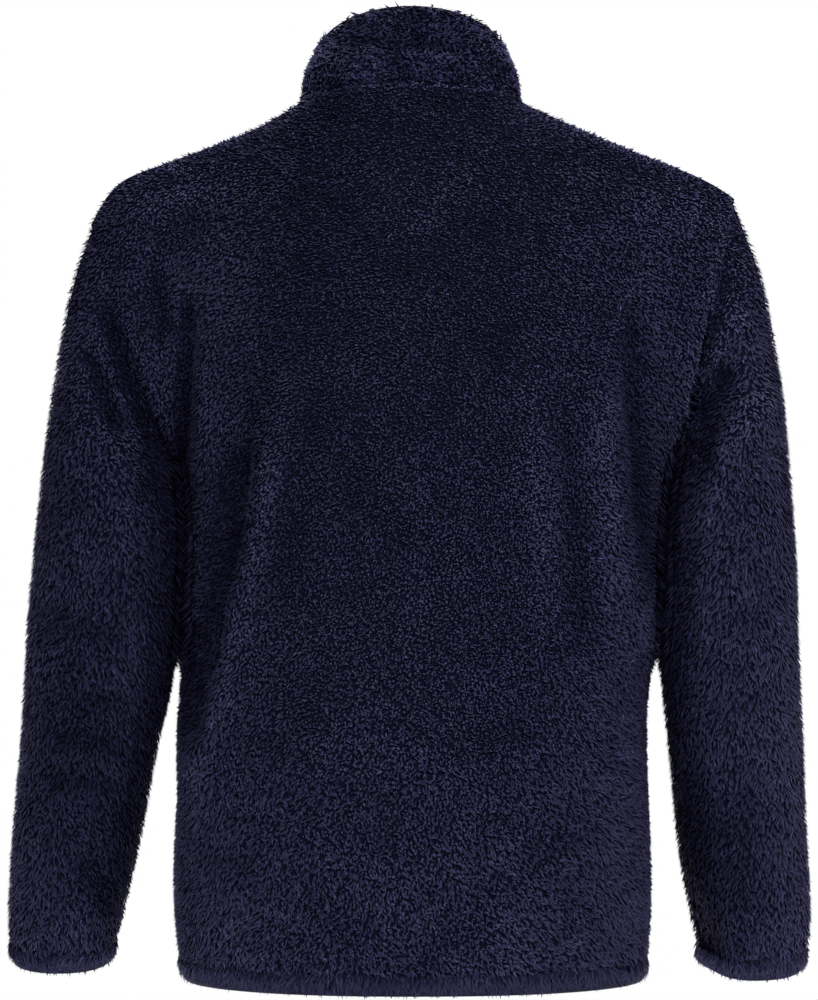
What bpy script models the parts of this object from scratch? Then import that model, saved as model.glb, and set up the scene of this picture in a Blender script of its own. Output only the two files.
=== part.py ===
"""A fleece jacket with a stand collar and a full front zip, in the hollow shape that it has when worn.

Metres, +Z up. The front faces -Y and the wearer's left is +X. The origin is the middle of the neck opening,
level with the two points where the shoulder seams meet the collar.
"""

import math

import bmesh
import bpy
from mathutils import Matrix, Vector

# ---------------------------------------------------------------- driving dimensions
CLOTH = 0.006            # the fleece with its pile
SEAM_GAP = 0.0003        # between two pieces at a seam
BOUND_CLOTH = 0.0026     # the fleece where a binding presses it flat
BINDING = 0.001          # thickness of the edge tape
BINDING_DEEP = 0.009     # how far the tape laps over the cloth
EDGE_LEAN = Vector((0.11, 0.37, 1.0))
FRONT_GAP = 0.007        # from the middle of the zip to the turned edge of each front

NECK_HALF = 0.091        # half the neck opening's width
NECK_BACK = Vector((0.0, 0.062, 0.003))
NECK_FRONT = Vector((FRONT_GAP, -0.088, -0.083))
NECK_SIDE_Z = -0.002
NECK_DIP = 1.35          # how sharply the front of the neckline falls

COLLAR_TOP_HALF = 0.079
COLLAR_TOP_BACK = Vector((0.0, 0.044, 0.069))
COLLAR_TOP_SIDE = Vector((COLLAR_TOP_HALF, -0.014, 0.038))
COLLAR_TOP_FRONT = Vector((FRONT_GAP, -0.097, -0.021))
COLLAR_CROWN = 0.0025    # how far the rounded top edge stands above the two faces

UNDERARM_Z = -0.300
HEM_Z = -0.7035          # the cloth's raw edge, inside its binding

NECK_COLUMNS_BACK = 5
NECK_COLUMNS_FRONT = 6
SHOULDER_COLUMNS = 10
NECK_SHARE = 0.40        # share of a half panel's width that ends on the neckline
BODY_ROWS = 14           # from the hem's plain cloth up to the underarm
ARMHOLE_ROWS = 14        # from the underarm up to the shoulder seam
SLEEVE_RINGS = 21
COLLAR_ROWS = 5

# ---------------------------------------------------------------- tables
# Half widths and depths of the body at each height, seen square on.
BODY_SECTIONS = (
    # z       left   right  back   front
    (-0.706, 0.182, 0.187, 0.128, -0.124),
    (-0.672, 0.189, 0.192, 0.131, -0.128),
    (-0.610, 0.191, 0.193, 0.130, -0.129),
    (-0.546, 0.186, 0.190, 0.126, -0.127),
    (-0.482, 0.188, 0.190, 0.121, -0.125),
    (-0.430, 0.187, 0.197, 0.118, -0.126),
    (-0.380, 0.183, 0.202, 0.121, -0.129),
    (-0.322, 0.180, 0.206, 0.128, -0.132),
    (-0.300, 0.180, 0.207, 0.130, -0.133),
)
BODY_POWER = 2.25        # 2 would be an ellipse, and more is squarer

# The shoulder seam from the neck point to the top of the armhole.
SHOULDER_LEFT = (
    # x      y       z
    (0.091, 0.000, -0.002),
    (0.120, -0.002, -0.020),
    (0.157, -0.004, -0.035),
    (0.198, -0.005, -0.050),
    (0.238, -0.005, -0.067),
    (0.259, -0.004, -0.100),
)
SHOULDER_RIGHT = (
    (0.091, 0.000, -0.002),
    (0.126, -0.002, -0.018),
    (0.163, -0.004, -0.034),
    (0.205, -0.005, -0.050),
    (0.240, -0.005, -0.065),
    (0.261, -0.004, -0.079),
)

# How each column of a panel leaves the underarm level and arrives at the neckline or the shoulder seam.
BACK_COLUMNS = (
    # share  leave x, y, z           arrive x, y, z
    (0.00, 0.000, 0.006, 0.120, 0.000, 0.030, -0.062),
    (0.20, 0.000, 0.006, 0.122, 0.000, 0.040, -0.048),
    (0.40, 0.000, 0.007, 0.120, 0.000, 0.058, -0.016),
    (0.70, 0.000, 0.009, 0.108, 0.000, 0.062, -0.010),
    (0.86, 0.002, 0.020, 0.075, -0.003, 0.062, -0.014),
    (1.00, 0.008, 0.052, 0.014, -0.016, 0.064, -0.034),
)
FRONT_COLUMNS = (
    (0.00, 0.000, -0.007, 0.080, 0.000, -0.016, -0.046),
    (0.20, 0.000, -0.006, 0.090, 0.000, -0.034, -0.040),
    (0.40, 0.000, -0.006, 0.115, 0.000, -0.056, -0.020),
    (0.70, 0.000, -0.008, 0.105, 0.000, -0.058, -0.016),
    (0.86, 0.002, -0.018, 0.075, -0.003, -0.058, -0.018),
    (1.00, 0.006, -0.050, 0.014, -0.018, -0.060, -0.040),
)

# Outlines of the sleeves: x of the outer and inner edge, half the depth and the middle in y, at each height.
SLEEVE_LEFT = (
    # z       outer  inner  deep   middle
    (-0.100, 0.263, 0.175, 0.050, 0.002),
    (-0.130, 0.274, 0.175, 0.062, 0.003),
    (-0.162, 0.281, 0.175, 0.068, 0.003),
    (-0.226, 0.288, 0.175, 0.073, 0.002),
    (-0.300, 0.297, 0.176, 0.074, 0.000),
    (-0.386, 0.306, 0.178, 0.069, -0.002),
    (-0.450, 0.311, 0.183, 0.064, -0.006),
    (-0.514, 0.315, 0.200, 0.058, -0.013),
    (-0.578, 0.322, 0.212, 0.052, -0.023),
    (-0.642, 0.327, 0.227, 0.044, -0.036),
    (-0.680, 0.328, 0.237, 0.036, -0.045),
    (-0.706, 0.321, 0.246, 0.031, -0.051),
)
SLEEVE_RIGHT = (
    (-0.079, 0.262, 0.203, 0.050, 0.002),
    (-0.114, 0.276, 0.203, 0.062, 0.003),
    (-0.162, 0.288, 0.203, 0.068, 0.003),
    (-0.226, 0.297, 0.203, 0.073, 0.002),
    (-0.300, 0.305, 0.203, 0.074, 0.000),
    (-0.386, 0.311, 0.200, 0.069, -0.002),
    (-0.450, 0.313, 0.197, 0.064, -0.006),
    (-0.514, 0.317, 0.204, 0.058, -0.013),
    (-0.578, 0.320, 0.210, 0.052, -0.023),
    (-0.642, 0.325, 0.220, 0.044, -0.036),
    (-0.680, 0.325, 0.228, 0.036, -0.045),
    (-0.712, 0.315, 0.236, 0.031, -0.052),
)
SLEEVE_POWER = 2.15
SLEEVE_END_Z = {"left": -0.695, "right": -0.701}
SLEEVE_TILT = 2.1        # how soon the rings turn level below the shoulder
CUFF_DIP = 0.26          # fall of the cuff from its middle to its back, per metre of depth
BLEND_RINGS = 6          # rings over which the sleeve takes its own section after the armhole
CLEAR_OF_BODY = (0.0, 0.0052, 0.0044, 0.0034, 0.0026, 0.0020, 0.0018)   # sleeve to body, ring by ring, then the last

# Folds: a line from one place to another, seen square on from the back or the front, with a soft hollow or
# ridge along it. across is half its width, and out is its height, less than nothing for a hollow.
BODY_FOLDS_BACK = (
    # x0      z0      x1      z1     bow    across  out
    (0.092, -0.215, 0.180, -0.548, 0.004, 0.020, 0.006),
    (0.138, -0.262, 0.182, -0.480, 0.002, 0.016, -0.010),
    (0.201, -0.134, 0.191, -0.200, 0.000, 0.010, -0.006),
    (0.158, -0.148, 0.174, -0.300, 0.000, 0.012, 0.004),
    (0.175, -0.165, 0.178, -0.285, 0.000, 0.010, -0.007),
    (0.126, -0.170, 0.134, -0.265, 0.000, 0.020, -0.004),
    (-0.090, -0.205, -0.096, -0.400, 0.000, 0.020, 0.004),
    (-0.113, -0.200, -0.132, -0.400, 0.000, 0.017, -0.004),
    (-0.150, -0.230, -0.186, -0.430, 0.000, 0.018, 0.005),
    (-0.170, -0.215, -0.196, -0.360, 0.000, 0.014, -0.005),
    (0.030, -0.560, -0.080, -0.590, 0.010, 0.026, -0.003),
)
BODY_FOLDS_FRONT = (
    (0.150, -0.215, 0.120, -0.420, 0.006, 0.020, 0.005),
    (0.172, -0.210, 0.150, -0.430, 0.006, 0.017, -0.006),
    (-0.155, -0.205, -0.132, -0.400, 0.006, 0.020, 0.005),
    (-0.178, -0.200, -0.160, -0.420, 0.006, 0.017, -0.005),
    (0.100, -0.470, 0.060, -0.660, 0.000, 0.024, 0.003),
    (-0.100, -0.450, -0.075, -0.660, 0.000, 0.024, 0.003),
)
SLEEVE_FOLDS_BACK = (
    (0.242, -0.165, 0.194, -0.290, 0.004, 0.011, -0.007),
    (0.258, -0.200, 0.222, -0.268, 0.004, 0.012, -0.004),
    (0.300, -0.478, 0.205, -0.492, 0.000, 0.015, -0.003),
    (0.305, -0.518, 0.210, -0.528, 0.000, 0.014, 0.003),
    (0.310, -0.556, 0.215, -0.564, 0.000, 0.015, -0.003),
    (-0.288, -0.145, -0.240, -0.192, 0.003, 0.015, 0.004),
    (-0.272, -0.190, -0.224, -0.262, 0.003, 0.016, -0.007),
    (-0.300, -0.232, -0.236, -0.292, 0.003, 0.015, 0.004),
    (-0.206, -0.560, -0.300, -0.572, 0.000, 0.017, -0.004),
    (-0.216, -0.650, -0.246, -0.730, 0.000, 0.015, -0.006),
)
SLEEVE_FOLDS_FRONT = (
    (0.250, -0.180, 0.200, -0.280, 0.004, 0.015, -0.005),
    (-0.262, -0.170, -0.212, -0.275, 0.004, 0.015, -0.005),
    (0.295, -0.420, 0.200, -0.455, 0.004, 0.015, -0.005),
    (0.300, -0.465, 0.205, -0.485, 0.004, 0.015, 0.004),
    (-0.300, -0.430, -0.205, -0.455, 0.004, 0.015, -0.005),
    (-0.305, -0.510, -0.212, -0.500, 0.004, 0.015, -0.004),
)
COLLAR_ROLLS = (
    # share of the height, across it, out
    (0.48, 0.26, 0.0060),
    (0.82, 0.16, -0.0015),
)

# Zip, measured across it (half widths) and inwards from the cloth's outer face (depths).
TAPE_NEAR = 0.0015
TAPE_FAR = 0.0150
TAPE_THICK = 0.0006
CHAIN_HALF = 0.0030
CHAIN_THICK = 0.0020
SLIDER_LONG = 0.0120
SLIDER_HALF = 0.0045
SLIDER_PLATE = 0.0012
SLIDER_BELOW_TOP = 0.016  # from the collar's top edge down to the slider's middle
POST_HALF = 0.0010
POST_LONG = 0.0024
BOW_HALF = 0.0008         # the bow that holds the pull
BOW_REACH = 0.0037
PIN_RADIUS = 0.0007
PULL_LONG = 0.0300
PULL_HALF = 0.0035
PULL_WINDOW = 0.0060
PULL_ARM = 0.0013
STOP_LONG = 0.0025
BOX_LONG = 0.0100

COLOURS = {
    "fleece": ((0.011, 0.010, 0.026, 1.0), 0.95, 0.0),
    "edge_tape": ((0.010, 0.010, 0.024, 1.0), 0.60, 0.0),
    "zip_tape": ((0.009, 0.009, 0.020, 1.0), 0.85, 0.0),
    "zip_teeth": ((0.012, 0.012, 0.026, 1.0), 0.35, 0.0),
    "zip_metal": ((0.030, 0.030, 0.045, 1.0), 0.35, 1.0),
}


# ---------------------------------------------------------------- small helpers
def smooth(share):
    """0 to 1 with no slope at either end."""
    share = min(1.0, max(0.0, share))
    return share * share * (3 - 2 * share)


def curve_at(rows, at):
    """Every later column of a table at a value of its first column, on a smooth curve through the rows."""
    rows = sorted(rows)
    last = len(rows) - 2
    i = next((k for k in range(last) if at < rows[k + 1][0]), last)
    before, start, end, after = rows[max(i - 1, 0)], rows[i], rows[i + 1], rows[min(i + 2, last + 1)]
    span = end[0] - start[0]
    t = min(1.0, max(0.0, (at - start[0]) / span))
    found = []
    for k in range(1, len(start)):
        slope_in = (end[k] - before[k]) / (end[0] - before[0]) * span
        slope_out = (after[k] - start[k]) / (after[0] - start[0]) * span
        found.append(
            (2 * t**3 - 3 * t**2 + 1) * start[k]
            + (t**3 - 2 * t**2 + t) * slope_in
            + (3 * t**2 - 2 * t**3) * end[k]
            + (t**3 - t**2) * slope_out
        )
    return found


def bezier(p0, p1, p2, p3, t):
    u = 1 - t
    return p0 * u**3 + p1 * (3 * u * u * t) + p2 * (3 * u * t * t) + p3 * t**3


def rounded(angle, power):
    """Cosine and sine of an angle on a superellipse."""
    c, s = math.cos(angle), math.sin(angle)
    return (
        math.copysign(abs(c) ** (2 / power), c),
        math.copysign(abs(s) ** (2 / power), s),
    )


def fold_height(folds, x, z):
    """Sum of the folds' heights at a place seen square on."""
    height = 0.0
    for x0, z0, x1, z1, bow, across, out in folds:
        run = Vector((x1 - x0, z1 - z0))
        place = Vector((x - x0, z - z0))
        along = place.dot(run) / run.length_squared
        side = Vector((-run.y, run.x)).normalized()
        off = place.dot(side) - bow * math.sin(math.pi * min(1.0, max(0.0, along)))
        fade = smooth((along + 0.15) / 0.30) * smooth((1.15 - along) / 0.30)
        height += out * fade * math.exp(-((off / across) ** 2))
    return height


def body_section(z):
    """left, right, back and front reach of the body at a height."""
    return curve_at(BODY_SECTIONS, z)


# ---------------------------------------------------------------- the body's net
def body_point(z, share, side, face):
    """A point on the body. share runs from the middle (0) to the side seam (1); side is 1 on the left."""
    left, right, back, front = body_section(z)
    across, deep = rounded(math.pi / 2 * (1 - share), BODY_POWER)
    return Vector((across * (left if side > 0 else -right), deep * (back if face == "back" else front), z))


def shoulder_point(share, side):
    """A point on the shoulder seam, from the neck (0) to the armhole (1), evenly by length."""
    points = [Vector(p) for p in (SHOULDER_LEFT if side > 0 else SHOULDER_RIGHT)]
    lengths = [0.0]
    for a, b in zip(points, points[1:]):
        lengths.append(lengths[-1] + (b - a).length)
    x, y, z = curve_at([(at, *p) for at, p in zip(lengths, points)], share * lengths[-1])
    return Vector((x * side, y, z))


def neck_point(share, side, face):
    """A point on the neckline, from the middle (0) to the neck point of the shoulder seam (1)."""
    turn = share * math.pi / 2
    c, s = math.cos(turn), math.sin(turn)
    if face == "back":
        return Vector((side * NECK_HALF * s, NECK_BACK.y * c, NECK_SIDE_Z + (NECK_BACK.z - NECK_SIDE_Z) * c))
    x = NECK_FRONT.x + (NECK_HALF - NECK_FRONT.x) * s
    return Vector((side * x, NECK_FRONT.y * c, NECK_SIDE_Z + (NECK_FRONT.z - NECK_SIDE_Z) * c**NECK_DIP))


def column_shares(face):
    """(share of the half width, share along the neck or None, share along the shoulder or None)."""
    columns = NECK_COLUMNS_BACK if face == "back" else NECK_COLUMNS_FRONT
    shares = [(NECK_SHARE * k / columns, k / columns, None) for k in range(columns)]
    for k in range(SHOULDER_COLUMNS + 1):
        at = k / SHOULDER_COLUMNS
        shares.append((NECK_SHARE + (1 - NECK_SHARE) * at, None, at))
    return shares


def body_heights():
    """Heights of the level rows. The two lowest lie inside the hem's binding."""
    plain = HEM_Z + BINDING_DEEP + 0.012
    heights = [HEM_Z, HEM_Z + BINDING_DEEP + 0.002]
    return heights + [plain + (UNDERARM_Z - plain) * k / BODY_ROWS for k in range(BODY_ROWS + 1)]


def half_panel(face, side):
    """Rows of points from the hem to the neck and shoulder, each from the middle to the side."""
    gap = FRONT_GAP if face == "front" else 0.0
    columns = column_shares(face)

    def level(z, share):
        point = body_point(z, share, side, face)
        if gap:
            half = body_section(z)[0 if side > 0 else 1]
            point.x += side * gap * (1 - abs(point.x) / half)
        return point

    rows = [[level(z, share) for share, _, _ in columns] for z in body_heights()]
    table = BACK_COLUMNS if face == "back" else FRONT_COLUMNS
    for r in range(1, ARMHOLE_ROWS + 1):
        row = []
        for share, on_neck, on_shoulder in columns:
            start = level(UNDERARM_Z, share)
            if on_shoulder is None:
                end = neck_point(on_neck, side, face)
            else:
                end = shoulder_point(on_shoulder, side)
            lx, ly, lz, ax, ay, az = curve_at(table, share)
            leave = Vector((lx * side, ly, lz))
            arrive = Vector((ax * side, ay, az))
            row.append(bezier(start, start + leave, end + arrive, end, r / ARMHOLE_ROWS))
        # The corner at the neck point fades out further down.
        for _ in range(min(8, r, 2 * (ARMHOLE_ROWS - r))):
            inner = [(a + 2 * b + c) / 4 for a, b, c in zip(row, row[1:], row[2:])]
            row = [row[0], *inner, row[-1]]
        rows.append(row)
    return rows


# ---------------------------------------------------------------- the sleeves' nets
def keep_clear(point, side, clear, armhole):
    """The point, moved out of the body if it lies in it: past the body's section below the underarm, and past
    the armhole's edge above it."""
    under = armhole[len(armhole) // 2]
    if point.z > under.z:
        half_loop = armhole[: len(armhole) // 2 + 1] if point.y > 0 else [armhole[0], *armhole[:len(armhole) // 2 - 1:-1]]
        low = next((k for k, edge in enumerate(half_loop) if edge.z <= point.z), 0)
        high = max(low - 1, 0)
        drop = half_loop[high].z - half_loop[low].z
        edge = half_loop[high].lerp(half_loop[low], (half_loop[high].z - point.z) / drop if drop else 0.0)
        least = abs(edge.x) + clear
    else:
        left, right, back, front = body_section(max(point.z, HEM_Z))
        half = (left if side > 0 else right) + clear
        deep = (back if point.y > 0 else -front) + clear
        least = max(0.0, 1 - (abs(point.y) / deep) ** BODY_POWER) ** (1 / BODY_POWER) * half
    return Vector((side * max(least, abs(point.x)), point.y, point.z))


def sleeve_net(side, armhole):
    """Rings of points from the armhole to the cuff, each starting at the outer edge and running to the back."""
    name = "left" if side > 0 else "right"
    table = SLEEVE_LEFT if side > 0 else SLEEVE_RIGHT
    top, under, end = armhole[0].z, armhole[len(armhole) // 2].z, SLEEVE_END_Z[name]
    count = len(armhole)

    def section(z_outer, z_inner):
        outer, _, deep_a, mid_a = curve_at(table, z_outer)
        _, inner, deep_b, mid_b = curve_at(table, z_inner)
        middle = Vector((side * (outer + inner) / 2, (mid_a + mid_b) / 2, (z_outer + z_inner) / 2))
        half = Vector((side * (outer - inner) / 2, 0, (z_outer - z_inner) / 2))
        dip = CUFF_DIP * smooth((-0.35 - z_outer) / 0.30)
        deep = Vector((0, 1, -dip)) * ((deep_a + deep_b) / 2)
        ring = []
        for j in range(count):
            c, s = rounded(2 * math.pi * j / count, SLEEVE_POWER)
            ring.append(middle + half * c + deep * s)
        return ring

    first = section(top, under)
    rings = [list(armhole)]
    for k in range(1, SLEEVE_RINGS + 1):
        share = k / SLEEVE_RINGS
        z_outer = top + (end - top) * share
        z_inner = z_outer - (top - under) * (1 - share) ** SLEEVE_TILT
        blend = 1 - smooth(k / BLEND_RINGS)
        clear = CLEAR_OF_BODY[min(k, len(CLEAR_OF_BODY) - 1)]
        ring = []
        for j, point in enumerate(section(z_outer, z_inner)):
            ring.append(keep_clear(point + (armhole[j] - first[j]) * blend, side, clear, armhole))
        rings.append(ring)
    rise = (BINDING_DEEP + 0.002) / (rings[-2][0] - rings[-1][0]).length
    rings.insert(-1, [a.lerp(b, rise) for a, b in zip(rings[-1], rings[-2])])
    return rings


# ---------------------------------------------------------------- the collar's net
def collar_top(share, side, face):
    """The collar's top edge above the neckline's point at that share."""
    turn = share * math.pi / 2
    c, s = math.cos(turn), math.sin(turn)
    ends = COLLAR_TOP_BACK if face == "back" else COLLAR_TOP_FRONT
    x = ends.x + (COLLAR_TOP_HALF - ends.x) * s
    y = COLLAR_TOP_SIDE.y + (ends.y - COLLAR_TOP_SIDE.y) * c
    z = COLLAR_TOP_SIDE.z + (ends.z - COLLAR_TOP_SIDE.z) * c ** (1.0 if face == "back" else NECK_DIP)
    return Vector((side * x, y, z))


def collar_net():
    """Rows from the neckline up, each from the left front round the back to the right front."""
    places = [(k / NECK_COLUMNS_FRONT, 1, "front") for k in range(NECK_COLUMNS_FRONT)]
    places += [(1 - k / NECK_COLUMNS_BACK, 1, "back") for k in range(NECK_COLUMNS_BACK)]
    places += [(k / NECK_COLUMNS_BACK, -1, "back") for k in range(NECK_COLUMNS_BACK)]
    places += [(1 - k / NECK_COLUMNS_FRONT, -1, "front") for k in range(NECK_COLUMNS_FRONT + 1)]
    rows = []
    for r in range(COLLAR_ROWS + 1):
        up = r / COLLAR_ROWS
        row = []
        for share, side, face in places:
            base = neck_point(share, side, face)
            point = base.lerp(collar_top(share, side, face), up)
            outward = Vector((point.x, point.y + 0.015, 0)).normalized()
            back = 1 - 0.5 * share if face == "back" else 0.5 * smooth(share)
            for at, across, out in COLLAR_ROLLS:
                point += outward * (out * back * math.exp(-(((up - at) / across) ** 2)))
            row.append(point)
        rows.append(row)
    return rows


# ---------------------------------------------------------------- normals, shared at the seams
def key_of(point):
    return tuple(round(c * 1e6) for c in point)


def own_normals(net, closed):
    """Outward unit normals of a net whose columns run to the right and whose rows run up, seen from outside."""
    rows, columns = len(net), len(net[0])
    normals = [[Vector() for _ in range(columns)] for _ in range(rows)]
    for r in range(rows - 1):
        for c in range(columns if closed else columns - 1):
            d = (c + 1) % columns
            face = (net[r + 1][d] - net[r][c]).cross(net[r + 1][c] - net[r][d])
            for at in ((r, c), (r, d), (r + 1, c), (r + 1, d)):
                normals[at[0]][at[1]] += face
    return [[n.normalized() for n in row] for row in normals]


def shared_normals(nets):
    """For each net, rows of vectors: the direction that splits the pieces meeting at a point, long enough to
    keep the wall's thickness through the mitre."""
    own = {name: own_normals(net, name.startswith("sleeve")) for name, net in nets.items()}
    met = {}
    for name, net in nets.items():
        kind = name.split("_")[0].replace("front", "back")
        for row, normals in zip(net, own[name]):
            for point, normal in zip(row, normals):
                met.setdefault(key_of(point), {}).setdefault(kind, []).append(normal)
    found = {}
    for name, net in nets.items():
        rows = []
        for row in net:
            line = []
            for point in row:
                normals = [sum(of_kind, Vector()).normalized() for of_kind in met[key_of(point)].values()]
                middle = sum(normals, Vector()).normalized()
                spread = sum(middle.dot(n) for n in normals) / len(normals)
                line.append(middle / max(spread, 0.65))
            rows.append(line)
        found[name] = rows
    return found


# ---------------------------------------------------------------- solids
def new_object(name, mesh_builder, colour):
    """An object whose mesh is what the bmesh holds, with its faces pointing out."""
    bmesh.ops.recalc_face_normals(mesh_builder, faces=mesh_builder.faces)
    mesh = bpy.data.meshes.new(name)
    mesh_builder.to_mesh(mesh)
    mesh_builder.free()
    mesh.shade_smooth()
    mesh.set_sharp_from_angle(angle=math.radians(50))
    mesh.materials.append(MATERIALS[colour])
    made = bpy.data.objects.new(name, mesh)
    JACKET.objects.link(made)
    return made


def close_edge(bm, out_a, in_a, out_b, in_b):
    """Closes a wall's edge between two places along it. The fold between the two triangles is chosen by the
    points alone, so that the two pieces at a seam match."""
    if (out_a.co - out_b.co).dot(EDGE_LEAN) < 0:
        out_a, in_a, out_b, in_b = out_b, in_b, out_a, in_a
    bm.faces.new((out_a, in_a, in_b))
    bm.faces.new((out_a, in_b, out_b))


def wall(name, outer, inner, colour, closed=False, crown=None):
    """A cloth wall between two nets of the same size, with its edges closed. crown is a row of points
    between the two top edges, for a rounded edge."""
    bm = bmesh.new()
    sheets = [[[bm.verts.new(p) for p in row] for row in net] for net in (outer, inner)]
    crown_line = [bm.verts.new(p) for p in crown] if crown else None
    rows, columns = len(outer), len(outer[0])
    spans = columns if closed else columns - 1
    for r in range(rows - 1):
        for c in range(spans):
            d = (c + 1) % columns
            for sheet in sheets:
                bm.faces.new((sheet[r][c], sheet[r][d], sheet[r + 1][d], sheet[r + 1][c]))
    out, back = sheets
    for c in range(spans):
        d = (c + 1) % columns
        close_edge(bm, out[0][c], back[0][c], out[0][d], back[0][d])
        if crown_line:
            bm.faces.new((out[-1][c], out[-1][d], crown_line[d], crown_line[c]))
            bm.faces.new((crown_line[c], crown_line[d], back[-1][d], back[-1][c]))
        else:
            close_edge(bm, out[-1][c], back[-1][c], out[-1][d], back[-1][d])
    if not closed:
        for c in (0, -1):
            for r in range(rows - 1):
                close_edge(bm, out[r][c], back[r][c], out[r + 1][c], back[r + 1][c])
            if crown_line:
                bm.faces.new((out[-1][c], crown_line[c], back[-1][c]))
    return new_object(name, bm, colour)


def swept(name, rings, colour, closed=False):
    """A solid through closed profiles of the same number of points, with its ends filled."""
    bm = bmesh.new()
    lines = [[bm.verts.new(p) for p in ring] for ring in rings]
    size = len(rings[0])
    for k in range(len(lines) if closed else len(lines) - 1):
        a, b = lines[k], lines[(k + 1) % len(lines)]
        for j in range(size):
            i = (j + 1) % size
            bm.faces.new((a[j], a[i], b[i], b[j]))
    if not closed:
        bm.faces.new(lines[0])
        bm.faces.new(reversed(lines[-1]))
    return new_object(name, bm, colour)


def drawn_in(net, sides):
    """The net with its seam edges drawn in by half the seam gap. sides is some of "left right bottom top"."""
    net = [[p.copy() for p in row] for row in net]
    half = SEAM_GAP / 2

    def move(edge, beside):
        return edge + (beside - edge).normalized() * half

    if "bottom" in sides:
        net[0] = [move(a, b) for a, b in zip(net[0], net[1])]
    if "top" in sides:
        net[-1] = [move(a, b) for a, b in zip(net[-1], net[-2])]
    for row in net:
        if "left" in sides:
            row[0] = move(row[0], row[1])
        if "right" in sides:
            row[-1] = move(row[-1], row[-2])
    return net


def two_faces(net, normals, edge_rows=()):
    """The outer and inner net of a cloth wall. edge_rows are pressed flat for a binding."""
    outer, inner = [], []
    pressed = {r % len(net) for r in edge_rows}
    for r, (row, line) in enumerate(zip(net, normals)):
        sink = (CLOTH - BOUND_CLOTH) / 2 if r in pressed else 0.0
        outer.append([p - n * sink for p, n in zip(row, line)])
        inner.append([p - n * (CLOTH - sink) for p, n in zip(row, line)])
    return outer, inner


def binding_rings(edge, above, normals):
    """U-shaped profiles of edge tape around a line of cloth edge points."""
    rings = []
    flat = BOUND_CLOTH / 2 + SEAM_GAP
    wide = flat + BINDING
    profile = (
        (BINDING_DEEP, wide), (-SEAM_GAP - BINDING / 2, wide), (-SEAM_GAP - BINDING, 0.0),
        (-SEAM_GAP - BINDING / 2, -wide), (BINDING_DEEP, -wide),
        (BINDING_DEEP, -flat), (-SEAM_GAP, -flat), (-SEAM_GAP, flat), (BINDING_DEEP, flat),
    )
    for low, high, normal in zip(edge, above, normals):
        out = normal.normalized()
        up = (high - low).normalized()
        middle = low - normal * (CLOTH / 2)
        rings.append([middle + up * a + out * b for a, b in profile])
    return rings


# ---------------------------------------------------------------- the garment
def build_nets():
    halves = {(face, side): half_panel(face, side) for face in ("back", "front") for side in (1, -1)}
    nets = {
        "back": [left[::-1] + right[1:] for left, right in zip(halves["back", 1], halves["back", -1])],
        "front_left": halves["front", 1],
        "front_right": [row[::-1] for row in halves["front", -1]],
        "collar": collar_net(),
    }
    for side, name in ((1, "left"), (-1, "right")):
        behind = [row[-1] for row in halves["back", side][-ARMHOLE_ROWS - 1:]][::-1]
        before = [row[-1] for row in halves["front", side][-ARMHOLE_ROWS - 1:]]
        rings = sleeve_net(side, behind + before[1:-1])
        if side > 0:   # so that its columns run to the right, seen from outside
            rings = [[ring[0]] + ring[:0:-1] for ring in rings]
        nets["sleeve_" + name] = rings
    return nets


def add_folds(nets):
    """Moves every point out or in by the folds it lies on, by the same amount on both sides of a seam."""
    normals = shared_normals(nets)
    for name, net in nets.items():
        if name == "collar":
            continue
        body = not name.startswith("sleeve")
        back_folds = BODY_FOLDS_BACK if body else SLEEVE_FOLDS_BACK
        front_folds = BODY_FOLDS_FRONT if body else SLEEVE_FOLDS_FRONT
        rows = []
        for r, (row, line) in enumerate(zip(net, normals[name])):
            new_row = []
            for c, (point, normal) in enumerate(zip(row, line)):
                out = normal.normalized()
                faces_back = smooth((out.y + 0.30) / 0.60)
                height = faces_back * fold_height(back_folds, point.x, point.z)
                height += (1 - faces_back) * fold_height(front_folds, point.x, point.z)
                new_row.append(point + out * height * calm(name, net, r, c))
            rows.append(new_row)
        nets[name] = rows


def calm(name, net, row, column):
    """0 where a seam or the zip holds the cloth flat, 1 where it is free to fold."""
    rows, columns = len(net), len(net[0])
    if name.startswith("sleeve"):
        return smooth(row / 2)
    from_top, from_side = rows - 1 - row, columns
    on_armhole = row >= rows - 1 - ARMHOLE_ROWS
    if name == "back":
        from_side = min(column, columns - 1 - column)
    elif name == "front_left":
        from_side = columns - 1 - column
        from_top = min(from_top, column)
    else:
        from_side = column
        from_top = min(from_top, columns - 1 - column)
    held = smooth(from_side / 2) if on_armhole else 1.0
    return held * smooth(from_top / 2)


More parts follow.
